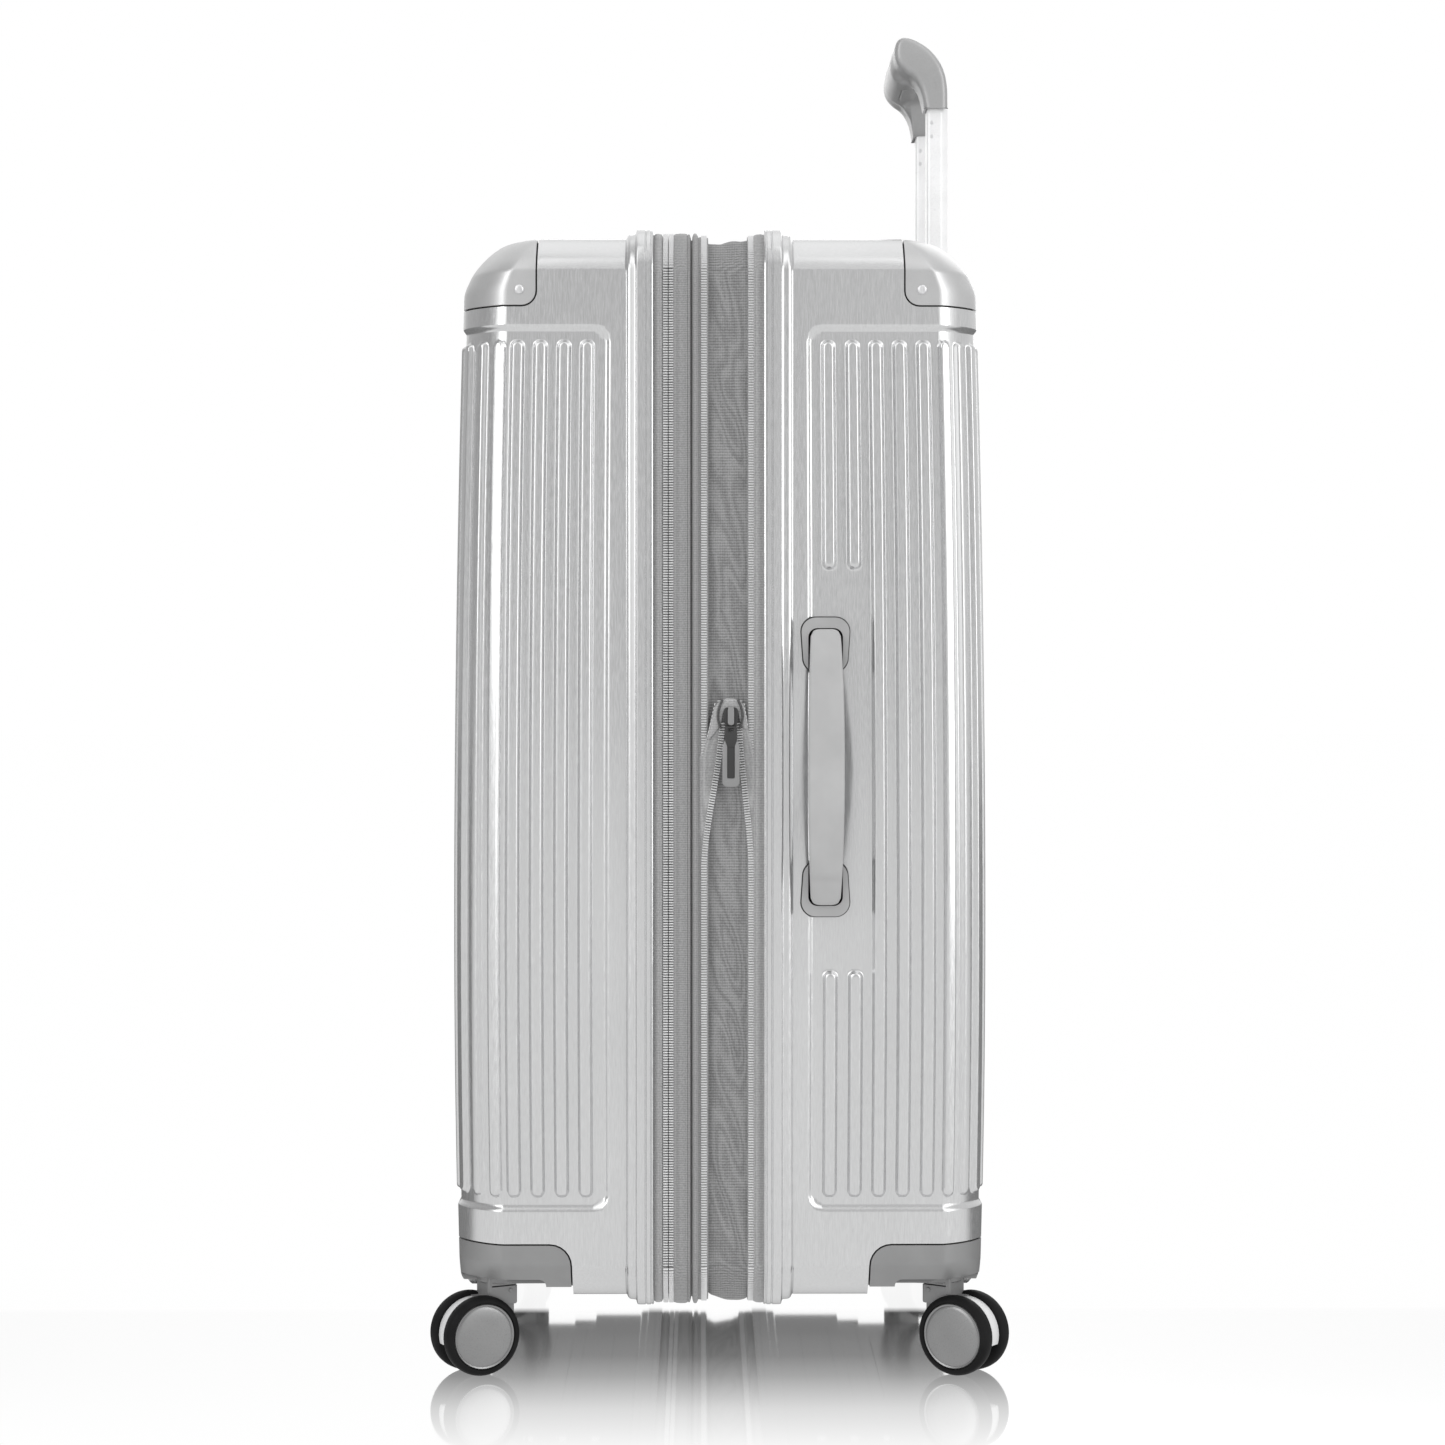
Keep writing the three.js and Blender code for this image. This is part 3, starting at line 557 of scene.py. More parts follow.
def fall(run, reach, depth, power=ROUNDING):
    """How far a soft edge has dropped after `run` of its reach."""
    t = np.clip(np.asarray(run, float) / reach, 0, 1)
    return depth * (1 - (1 - t**power) ** (1 / power))


LEAN_SPAN, TUCK_SPAN = 420, 200  # heights above and below BOW_HEIGHT over which the face falls back


def face_profile(z, top, bottom):
    """How far the big face stands behind its plane at each height: rounded ends and a slight bow."""
    rounded_top = fall(FACE_RISE - (top - z), FACE_RISE, FACE_RUN)
    rounded_foot = fall(FOOT_RISE - (z - bottom), FOOT_RISE, FOOT_RUN)
    high = LEAN_IN * np.clip((z - BOW_HEIGHT) / LEAN_SPAN, 0, None) ** 2
    low = TUCK_IN * np.clip((BOW_HEIGHT - z) / TUCK_SPAN, 0, 1.2) ** 2
    return rounded_top + rounded_foot + high + low - BOW


class Plan:
    """A half shell's level outline: half of it from the middle of the big face to the open edge."""

    def __init__(self, side, inset=0.0, beyond=0.0):
        self.side = side
        self.depth = abs(side["face"] - side["edge"]) - inset
        self.half = HALF_WIDTH - inset
        self.reach = side["reach"] - 0.6 * inset
        curve, self.curve_normals = soft_corner(self.reach, self.reach, 80)
        self.curve = curve
        steps = np.hypot(*np.diff(curve, axis=0).T)
        self.curve_at = np.concatenate([[0], np.cumsum(steps)])
        self.flat = self.half - self.reach
        self.corner = self.curve_at[-1]
        self.total = self.flat + self.corner + self.depth - self.reach + beyond

    def at(self, t):
        """Points (x, depth) and normals at signed lengths from the middle of the big face."""
        t = np.asarray(t, float)
        run = np.abs(t)
        in_curve = np.clip(run - self.flat, 0, self.corner)
        cx, cy = (np.interp(in_curve, self.curve_at, self.curve[:, i]) for i in (0, 1))
        nx, ny = (np.interp(in_curve, self.curve_at, self.curve_normals[:, i]) for i in (0, 1))
        past = np.clip(run - self.flat - self.corner, 0, None)
        x = np.where(run < self.flat, run, self.flat + cx)
        d = self.depth - self.reach + cy - past
        return np.sign(t) * x, d, np.sign(t) * nx, ny


def rib_centres(plan):
    """(signed length, low end, high end) of every rib."""
    side, ribs = plan.side, []
    corner_end = plan.flat + plan.corner
    open_edge = corner_end + plan.depth - plan.reach
    spots = [(i + 0.5) * RIB_PITCH for i in range(FACE_RIBS)]
    spots += [corner_end - run for run in side["corner_ribs"]]
    spots += [open_edge - d for d in side["ribs"]]
    near_handle = {round(open_edge - d, 3) for d in side["ribs"][-2:]}
    for spot in spots:
        for hand in (-1, 1):
            broken = side["out"] > 0 and hand > 0 and round(spot, 3) in near_handle
            if broken:
                ribs += [(spot, RIB_LOW, HANDLE_GAP[0]), (spot, HANDLE_GAP[1], RIB_HIGH)]
            else:
                ribs.append((hand * spot, RIB_LOW, RIB_HIGH))
    return ribs


def relief(plan, ribs, t, z):
    """How far the surface stands out at grids t and z: the sunk panel and the ribs on it."""
    edge = plan.total - plan.side["panel"]
    a = np.abs(t) - (edge - PANEL_RADIUS)
    b = np.abs(z - (PANEL_LOW + PANEL_HIGH) / 2) - ((PANEL_HIGH - PANEL_LOW) / 2 - PANEL_RADIUS)
    outside = np.hypot(np.clip(a, 0, None), np.clip(b, 0, None)) + np.minimum(np.maximum(a, b), 0)
    out = -PANEL_DEPTH * smooth((PANEL_RADIUS - outside) / PANEL_SOFT + 0.5)
    if ribs and plan.side["out"] > 0:
        # the shallow dish behind the carry handle leaves room for fingers
        across = (t - (plan.total - DISH["depth"])) / DISH["half"]
        along = (z - DISH["z"]) / DISH["tall"]
        out -= DISH["sink"] * smooth((1 - (across**2 + along**2)) / 0.95)
    for centre, low, high in ribs:
        columns = np.abs(t[0] - centre) < RIB_HALF + 0.5
        near_t, near_z = t[:, columns], z[:, columns]
        ends = np.clip(np.maximum(near_z - high + RIB_HALF, low + RIB_HALF - near_z), 0, None)
        away = np.hypot(near_t - centre, ends)
        out[:, columns] += RIB_HEIGHT * smooth((RIB_HALF - away) / RIB_SOFT)
    return out


def spaced(values, tolerance=0.35):
    """Sorted values without near-doubles."""
    kept = []
    for value in sorted(values):
        if not kept or value - kept[-1] > tolerance:
            kept.append(value)
    return np.array(kept)


# where a half's grid is finer, as distances in mm
ACROSS_RIB = (0.9, 2.4, 3.2, 4.0, 4.8, 5.3, 8.15)
ACROSS_PANEL_SIDE = (-3, -2, -1.2, -0.5, 0.3, 1, 1.7, 2.5, 4)
ACROSS_PANEL_END = (-4, -2.3, -1.4, -0.6, 0.2, 1, 1.8, 2.8, 4.2)
ACROSS_RIB_END = (-0.4, 0.3, 0.9, 1.6, 2.4, 3.2, 4.1, 5.2, 7, 10)


def half_solid(name, side, inset=0.0, ribbed=False, beyond=0.0):
    """A closed block with the outer form of a half shell, taken in by inset."""
    plan = Plan(side, inset, beyond)
    top, bottom = TOP - inset, BOTTOM + inset
    rise = EDGE_REACH - 0.6 * inset
    columns = set(np.linspace(0, plan.flat, 3 if not ribbed else 2))
    columns |= set(plan.flat + np.linspace(0, plan.corner, 30 if ribbed else 14))
    columns |= set(np.linspace(plan.flat + plan.corner, plan.total, 5))
    turn = np.linspace(0, math.pi / 2, 9)
    edge_rows = rise * np.sin(turn) ** (2 / EDGE_ROUNDING)
    rows = set(top - rise + edge_rows) | set(bottom + rise - edge_rows)
    rows |= set(np.linspace(bottom, top, 29)) | set(top - np.linspace(FACE_RISE - 6, FACE_RISE + 2, 4))
    rows |= set(bottom + FOOT_RISE * (1 - np.sin(turn) ** (2 / ROUNDING)))
    ribs = []
    if ribbed:
        ribs = rib_centres(plan)
        for centre in {abs(rib[0]) for rib in ribs}:
            columns |= {centre + sign * off for off in ACROSS_RIB for sign in (-1, 1)}
        border = plan.total - side["panel"]
        columns |= {border + off for off in ACROSS_PANEL_SIDE}
        for end, sign in ((PANEL_LOW, 1), (PANEL_HIGH, -1)):
            rows |= {end + sign * off for off in ACROSS_PANEL_END}
        ends = [(RIB_LOW, 1), (RIB_HIGH, -1)]
        if side["out"] > 0:
            ends += [(HANDLE_GAP[0], -1), (HANDLE_GAP[1], 1)]
        for end, sign in ends:
            rows |= {end + sign * off for off in ACROSS_RIB_END}
    columns = spaced([c for c in columns if -1e-6 <= c < plan.total - 0.4] + [plan.total])
    columns = np.concatenate([-columns[::-1][: -1 if columns[0] < 1e-6 else None], columns])
    rows = spaced([r for r in rows if bottom - 1e-6 <= r <= top + 1e-6])
    rows[0], rows[-1] = bottom, top
    t, z = np.meshgrid(columns, rows)
    x, d, nx, nd = plan.at(t)
    to_end = np.minimum(top - z, z - bottom)
    shrink_x = fall(rise - to_end, rise, rise, EDGE_ROUNDING) / plan.half
    stretch = 1 - face_profile(z, top, bottom) / plan.depth
    out = relief(plan, ribs, t, z) if ribbed else np.zeros_like(t)
    x = x * (1 - shrink_x) + nx * out
    d = np.where(d > 0, d * stretch, d) + nd * out
    y = side["edge"] + side["out"] * d
    points = np.stack([x, y, z], -1).reshape(-1, 3)
    count_r, count_c = t.shape
    faces = grid_faces(count_r, count_c)
    faces += [(r * count_c + count_c - 1, r * count_c, (r + 1) * count_c, (r + 2) * count_c - 1)
              for r in range(count_r - 1)]
    faces += end_faces(count_r, count_c)
    return solid_of(name, points, faces)


def case_path(spacing=None, steps=14):
    """Points (x, z) and normals once round the case, from the right side's middle upwards."""
    corner, normal = soft_corner(EDGE_REACH, EDGE_REACH, steps)
    corner, normal = corner[::-1], normal[::-1]  # from the side face up to the top face
    points, normals = [], []
    for sx, sz, end in ((1, 1, TOP), (-1, 1, TOP), (-1, -1, BOTTOM), (1, -1, BOTTOM)):
        turned = corner * (sx, sz)
        facing = normal * (sx, sz)
        centre = np.array([sx * (HALF_WIDTH - EDGE_REACH), end - sz * EDGE_REACH])
        if sx * sz < 0:
            turned, facing = turned[::-1], facing[::-1]
        points.append(turned + centre)
        normals.append(facing)
    points, normals = np.concatenate(points), np.concatenate(normals)
    points = np.concatenate([[[HALF_WIDTH, MID_HEIGHT]], points])
    normals = np.concatenate([[[1, 0]], normals])
    if spacing is None:
        return points, normals
    closed = np.concatenate([points, points[:1]])
    closed_n = np.concatenate([normals, normals[:1]])
    lengths = np.concatenate([[0], np.cumsum(np.hypot(*np.diff(closed, axis=0).T))])
    count = int(round(lengths[-1] / spacing))
    at = np.arange(count) * lengths[-1] / count
    new = np.stack([np.interp(at, lengths, closed[:, i]) for i in (0, 1)], 1)
    new_n = np.stack([np.interp(at, lengths, closed_n[:, i]) for i in (0, 1)], 1)
    return new, new_n / np.hypot(*new_n.T)[:, None]


def underneath(x, nz):
    """1 where cloth hangs under the case, 0 on top, at the sides and towards the hinge."""
    return np.clip(-nz, 0, None) ** 2 * np.clip(0.5 + x / 240, 0, 1)


def ring(name, section, spacing=None, sag=0.0):
    """A closed section of (y, outset) points swept once round the case, hanging lower underneath."""
    points, normals = case_path(spacing)
    rows = []
    for (x, z), (nx, nz) in zip(points, normals):
        drop = sag * underneath(x, nz)
        rows += [(x + nx * out, y, z + nz * out - drop) for y, out in section]
    return solid_of(name, rows, grid_faces(len(points), len(section), True, True))


RIM = (
    (19, -0.6), (18.2, 0.3), (17.4, 2.0), (16.4, 3.0), (15, 3.4), (12.6, 3.6), (11.9, 4.1), (11.4, 6.0),
    (10.9, 6.8), (10.1, 7.0), (5.8, 7.0), (5.3, 6.4), (4.9, 6.4), (4.4, 7.0), (2.2, 7.0), (1.7, 6.4),
    (1.3, 6.4), (0.8, 6.9), (0.2, 6.6), (0, 5.8), (0, -1.8), (19, -1.8),
)  # depth from the shell's open edge, and outset


def rim_solid(name, side):
    """The raised band at a shell's open edge. The back shell's is slightly deeper."""
    stretch = 1.0 if side["out"] < 0 else 1.06
    return ring(name, [(side["edge"] + side["out"] * d * stretch, out) for d, out in RIM])


def corner_box(name, side, hand, x, y, low, high, radius):
    """A block over one outer corner of a half, with its inner edges rounded."""
    far_x, far_y = HALF_WIDTH + 60, abs(side["face"]) + 60
    obj = box(name, (min(hand * x, hand * far_x), min(side["out"] * y, side["out"] * far_y), low),
              (max(hand * x, hand * far_x), max(side["out"] * y, side["out"] * far_y), high))
    bevel(obj, radius, 6)
    return obj


def guard_box(name, side, hand, grow=0.0):
    return corner_box(name, side, hand, GUARD["x"] - grow, GUARD["y"] - grow, GUARD["z"] - grow,
                      TOP + 80, GUARD["radius"] + grow)


def housing_box(name, side, hand, grow=0.0):
    return corner_box(name, side, hand, HOUSING["x"] - grow, HOUSING["y"] - grow, -80,
                      HOUSING["top"] + grow, HOUSING["radius"] + grow)


def copy(obj, name):
    """A second object with a mesh of its own."""
    twin = bpy.data.objects.new(name, obj.data.copy())
    bpy.context.scene.collection.objects.link(twin)
    return twin


TRAY = {"x": 98, "front": 124, "low": 738, "floor": 744.5}


def build_guard(name, side, body, hand_name, hand, form):
    """An upper corner guard, and a near-black sheet behind it: painted shade in the gap round the guard."""
    guard = copy(form, f"{name}_guard_{hand_name}")
    combine(guard, guard_box("cut", side, hand), "INTERSECT")
    combine(guard, half_solid("cut", side, 1.9, beyond=1.0), "DIFFERENCE")
    bevel(guard, 0.5, 2, 55)
    piece(guard, body, GUARD_LOOK, [f"{name}_corner_guard_{hand_name}"], 30, True)

    # a near-black sheet between the guard and the shell: painted shade in the seam round the guard
    seat = copy(form, f"{name}_guard_seat_{hand_name}")
    combine(seat, half_solid("cut", side, 2.3), "INTERSECT")
    combine(seat, guard_box("cut", side, hand, 4.0), "INTERSECT")
    combine(seat, half_solid("cut", side, 4.8, beyond=1.0), "DIFFERENCE")
    piece(seat, body, SHADE_SHEET_LOOK)


def build_housing(name, side, body, hand_name, hand, form):
    """A lower corner wheel housing: the case's own corner, hollowed out from below."""
    housing = copy(form, f"{name}_housing_{hand_name}")
    combine(housing, housing_box("cut", side, hand), "INTERSECT")
    below = box("cut", (-400, -400, -90), (400, 400, HOUSING["low"] - 6))
    combine(housing, below, "DIFFERENCE")
    well = corner_box("cut", side, hand, HOUSING["x"] + HOUSING_WALL, HOUSING["y"] + HOUSING_WALL, -90,
                      HOUSING["low"], 5)
    combine(housing, well, "DIFFERENCE")
    bevel(housing, 0.8, 2, 50)
    piece(housing, body, HOUSING_LOOK, [f"{name}_wheel_housing_{hand_name}"], 30, True)


def build_half(name):
    """A half shell with its ribs and rim, and the guards, housings and casters at its corners."""
    side = SIDES[name]
    body = f"{name}_half"
    form = half_solid("form", side)
    core = half_solid("core", side, WALL, beyond=1.0)
    shell = half_solid(f"{name}_shell_moulding", side, ribbed=True)
    for away in UNDER_RIBS:
        rib = slab("under_rib", rounded(380, 9.4, 4.6, 5), (-1.8, 1.5),
                   (0, side["edge"] + side["out"] * away, BOTTOM))
        bevel(rib, 1.0, 2)
        combine(shell, rib, "UNION")
    combine(shell, rim_solid("rim", side), "UNION")
    combine(shell, core, "DIFFERENCE")
    for hand_name, hand in HANDS.items():
        combine(shell, guard_box("cut", side, hand, SEAM), "DIFFERENCE")
        combine(shell, housing_box("cut", side, hand, SEAM), "DIFFERENCE")
        build_guard(name, side, body, hand_name, hand, form)
        build_housing(name, side, body, hand_name, hand, form)
        build_caster(name, side, hand_name, hand)
    if name == "back":
        tray_gap = box("cut", (-TRAY["x"] - 0.5, TRAY["front"] - 0.5, TRAY["low"] - 1),
                       (TRAY["x"] + 0.5, 300, 900))
        combine(shell, tray_gap, "DIFFERENCE")
    piece(shell, body, SHELL, [f"{name}_shell"], 38, True)
    bpy.data.objects.remove(form)


# ---------------------------------------------------------------- casters
CASTER_X, CASTER_Y, TRAIL, WHEEL_RADIUS = 218, 151.2, 18, 27
FENDER_RADIUS, FENDER_START, FENDER_TURN = 24.4, -20, 215  # the web between the wheels, in mm and degrees
TYRE_PROFILE = (
    (0, 9.5), (19.5, 9.5), (20.5, 6.4), (24.4, 6.1), (25.6, 6.6), (26.5, 7.7), (26.95, 9.4), (27, 12),
    (26.8, 14.0), (26.1, 15.8), (24.9, 17.0), (23.6, 17.45), (22.8, 17.3), (22.4, 16.7), (22.1, 15.4),
    (0, 15.4),
)  # radius, and distance from the middle of the caster
CAP_PROFILE = (
    (0, 14.8), (21.9, 14.8), (22.0, 16.1), (21.5, 16.75), (20.9, 16.6), (20.4, 16.3), (19.8, 16.7),
    (18.4, 17.0), (12, 17.3), (0, 17.45),
)


def build_caster(name, side, hand_name, hand):
    """A turned fork with its collar, pin and fender, and a wheel on each side of it."""
    angle = math.radians(side["heading"])
    axle = Vector((hand * math.cos(angle), -side["out"] * math.sin(angle), 0))
    ahead = Vector((hand * math.sin(angle), side["out"] * math.cos(angle), 0))
    up = Vector((0, 0, 1))
    post = Vector((hand * CASTER_X, side["out"] * CASTER_Y, 0))
    centre = post + ahead * TRAIL + up * WHEEL_RADIUS
    body = f"{name}_caster_{hand_name}"
    heights.append(FLOOR_HEIGHTS)

    forward = 1 if axle.cross(ahead).z > 0 else -1

    def upright(label, outline, depth, at):
        return prism(label, outline, depth, axle, ahead * forward, at)

    stem = upright("stem", rounded(21.5, 22, 2.5, at=(0, forward * 1.5)), (46, 67.4), post)
    bevel(stem, 1.2, 2)
    neck = upright("neck", rounded(10.6, 29, 2, at=(0, forward * 5)), (27, 52), post)
    collar = lathe("collar", [(0, 61), (14, 61), (15, 62), (15, 67.4), (0, 67.4)], 40, up, post)
    slot = upright("slot", [(-12, -10), (12, -10), (12, 10), (-12, 10)], (58.6, 59.5), post)
    pin = lathe("pin", [(0, 10), (1.1, 10), (1.5, 10.6), (1.5, 11.2), (1.1, 11.5), (0, 11.5)], 16, axle,
                post + up * 55.6 + ahead * -4)
    combine(stem, slot, "DIFFERENCE")
    arc = [math.radians(FENDER_START + FENDER_TURN * i / 28) for i in range(29)]
    fender_line = [(-FENDER_RADIUS * math.cos(a), FENDER_RADIUS * math.sin(a)) for a in arc]
    fender = prism("fender", fender_line, (-5.5, 5.5), ahead, up, centre)
    bevel(fender, 0.8, 2)
    fork = join([stem, neck, collar, pin], f"{name}_fork_{hand_name}")
    piece(fork, body, FORK_LOOK, [f"{name}_caster_fork_{hand_name}"], 35)
    fender.name = f"{name}_fender_{hand_name}"
    piece(fender, body, FENDER_LOOK, (), 35)
    for where, sign in (("outer", 1), ("inner", -1)):
        direction = axle * sign
        tyre = lathe(f"{name}_tyre_{where}_{hand_name}", TYRE_PROFILE, 72, direction, centre)
        piece(tyre, f"{name}_wheel_{where}_{hand_name}", TYRE,
              [f"{name}_wheel_{where}_{hand_name}"], 30)
        cap = lathe(f"{name}_wheel_cap_{where}_{hand_name}", CAP_PROFILE, 72, direction, centre)
        piece(cap, f"{name}_wheel_{where}_{hand_name}", CAP_LOOK, (), 22)
    heights.pop()


SIDE_RIVET = {"y": 134.6, "z": 733.4}
FACE_RIVET = {"x": 216, "z": 731.5, "seat": 0.9}
RIVET_BACK = face_profile(FACE_RIVET["z"], TOP, BOTTOM)  # how far the big face stands back there


def build_rivets():
    """Domed rivets that hold the upper corner guards: one on the side and one on the big face."""
    profile = [(0, -1), (3.2, -1), (3.2, 0.25), (2.9, 0.9), (2.1, 1.25), (1.1, 1.4), (0, 1.42)]
    for name, side in SIDES.items():
        rivets = []
        for hand in HANDS.values():
            rivets.append(lathe("rivet", profile, 24, (hand, 0, 0),
                                (hand * HALF_WIDTH, side["out"] * SIDE_RIVET["y"], SIDE_RIVET["z"])))
            on_face = side["face"] - side["out"] * (RIVET_BACK + FACE_RIVET["seat"])
            rivets.append(lathe("rivet", profile, 24, (0, side["out"], 0),
                                (hand * FACE_RIVET["x"], on_face, FACE_RIVET["z"])))
        obj = join(rivets, f"{name}_guard_rivets")
        piece(obj, f"{name}_half", RIVET_LOOK, (), 50)


# ---------------------------------------------------------------- tapes, coils and gusset
def coil(name, points, normals, across_half, height, tooth, lift):
    """Zip teeth: one rounded bar across the path at each point. Points are 3-D, in millimetres."""
    points, normals = np.asarray(points, float), np.asarray(normals, float)
    tangents = np.gradient(points, axis=0)
    tangents /= np.linalg.norm(tangents, axis=1)[:, None]
    across = np.cross(tangents, normals)
    half = tooth / 2
    arc = [(-half, 0), (-half * 0.8, height * 0.62), (0, height), (half * 0.8, height * 0.62), (half, 0)]
    shape = [(t, n - 0.3, s * across_half * (0.82 if n > height * 0.9 else 1)) for s in (-1, 1)
             for t, n in arc]
    verts = []
    for along, up, wide in shape:
        verts.append(points + tangents * along + normals * (up + lift) + across * wide)
    verts = np.stack(verts, 1).reshape(-1, 3)
    tooth = [(0, 1, 6, 5), (1, 2, 7, 6), (2, 3, 8, 7), (3, 4, 9, 8), (4, 0, 5, 9), (4, 3, 2, 1, 0),
             (5, 6, 7, 8, 9)]
    faces = [tuple(10 * i + k for k in face) for i in range(len(points)) for face in tooth]
    return solid_of(name, verts, faces)


def ring_points(y, spacing, outset=0.0):
    """Points and normals, in three dimensions, once round the case at one Y."""
    path, normals = case_path(spacing, 40)
    lifted = path + normals * outset
    lifted[:, 1] -= 2.2 * underneath(lifted[:, 0], normals[:, 1])
    points = np.stack([lifted[:, 0], np.full(len(path), float(y)), lifted[:, 1]], 1)
    return points, np.stack([normals[:, 0], np.zeros(len(path)), normals[:, 1]], 1)


COIL_PITCH = 1.75


# sections of the woven rings: Y, and outset from the case's outline
FRONT_TAPE = ((-45.5, 2.2), (-43.5, 3.6), (-41.5, 3.7), (-39.6, 3.2), (-38.7, 1.2), (-35.3, 0.6), (-35.3, -2),
              (-45.5, -2))
FRAME_BAND = (
    (-34.8, 0.6), (-32.4, 1.2), (-31.4, 3.0), (-29.8, 3.6), (-27, 3.9), (-24, 3.8), (-22.6, 3.4),
    (-22.0, 2.7), (-21.5, 3.4), (-20.8, 3.2), (-20.2, 1.6), (-19.8, -0.8), (-19.2, -0.8), (-18.9, 1.6),
    (-18.2, 3.5), (-17.2, 4.0), (-16.2, 3.7), (-15.5, 2.4), (-15.0, 1.2), (-13.4, 1.5), (-12.4, 1.3),
    (-8.4, 1.0), (-8.2, -2.5), (-34.8, -2.5),
)
BACK_TAPE = ((18.0, 1.5), (21.6, 1.6), (22.6, 2.6), (24.4, 3.3), (27, 3.5), (29.4, 3.2), (29.4, -2),
             (18.0, -2))
RING_STEP = 6.0  # mm along the case's outline


def build_bands():
    """The woven rings between the shells, from the front shell's rim to the back one's."""
    tape = ring("front_tape", FRONT_TAPE, RING_STEP, 2.0)
    piece(tape, "front_half", TAPE_LOOK, ["front_zip_tape"], 60)
    band = ring("frame_band_cloth", FRAME_BAND, RING_STEP, 2.5)
    piece(band, "frame_band", BAND_LOOK, ["frame_band"], 60)
    back = ring("back_tape", BACK_TAPE, RING_STEP, 2.5)
    piece(back, "back_half", TAPE_LOOK, ["back_zip_tape"], 60)
    for name, y, body, outset in (("main_coil_front", -36.9, "front_half", 2.3),
                                  ("main_coil_back", -33.1, "frame_band", 2.3)):
        points, normals = ring_points(y, COIL_PITCH, outset)
        teeth = coil(name, points, normals, 1.7, 2.0, 1.15, -0.4)
        piece(teeth, body, COIL_LOOK, (), 40)


SLIDER_Y, SLIDER_Z = 6.8, 452
MEET_LOW = 350  # the lower coils start to lean towards the slider here


def lean(z, start, end):
    """A coil's Y below the slider, from its own line at MEET_LOW to the slider's side."""
    t = np.clip((np.asarray(z, float) - MEET_LOW) / (SLIDER_Z - 6 - MEET_LOW), 0, 1)
    return start + (end - start) * (0.25 * t + 0.75 * smooth(t))


def expansion_path(line, side_end, upper_end, spacing):
    """A coil's line: from its tucked upper end, up and round the case, and up to the slider."""
    points, normals = ring_points(line, spacing, 0.8)
    on_right = points[:, 0] > HALF_WIDTH - 0.5
    start = np.where(on_right & (points[:, 2] >= upper_end))[0]
    first = start[np.argmin(points[start, 2])]
    points, normals = np.roll(points, -first, 0), np.roll(normals, -first, 0)
    tail = (points[:, 0] > HALF_WIDTH - 0.5) & (np.arange(len(points)) > len(points) // 2)
    keep = ~(tail & (points[:, 2] > SLIDER_Z - 10))
    points, normals, tail = points[keep], normals[keep], tail[keep]
    extra_z = np.arange(points[-1, 2] + spacing, SLIDER_Z - 6, spacing)
    if len(extra_z):
        extra = np.stack([np.full(len(extra_z), HALF_WIDTH + 0.8), np.full(len(extra_z), line), extra_z], 1)
        points = np.concatenate([points, extra])
        normals = np.concatenate([normals, np.tile([1.0, 0, 0], (len(extra_z), 1))])
        tail = np.concatenate([tail, np.ones(len(extra_z), bool)])
    points[tail, 1] = lean(points[tail, 2], line, side_end)
    points[tail, 0] += 1.6 * smooth((points[tail, 2] - MEET_LOW) / 60)
    return points, normals


def flap(name, seam_y, line, side_end, upper_end, material):
    """The loose tape beside the slider, from the seam to the leaning coil."""
    rows, columns = 40, 9
    z = np.linspace(300, SLIDER_Z + 2, rows)
    inner = lean(z, line, side_end) + np.sign(line - SLIDER_Y) * 1.4
    rise = np.clip((z - upper_end) / (SLIDER_Z + 2 - upper_end), 0, 1)
    outer = seam_y + (inner - seam_y) * 0.97 * rise**1.2
    s = np.linspace(0, 1, columns)[None, :]
    y = outer[:, None] + (inner - outer)[:, None] * s
    x = HALF_WIDTH + 0.9 + 1.5 * smooth((z[:, None] - MEET_LOW) / 60) * s**0.7
    x = x + 0.8 * np.sin(s * math.pi) * smooth((z[:, None] - MEET_LOW) / 80)
    points = np.stack([x + 0 * y, y, z[:, None] + 0 * y], -1).reshape(-1, 3)
    obj = mesh_of(name, points, grid_faces(rows, columns))
    thicken(obj, 0.6)
    piece(obj, None, material, (), 60)
    sized([HALF_WIDTH, GUSSET_START, 0])
    sized([HALF_WIDTH, GUSSET_END, 0])
    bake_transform(obj)


GUSSET_START, GUSSET_END = -12, 22


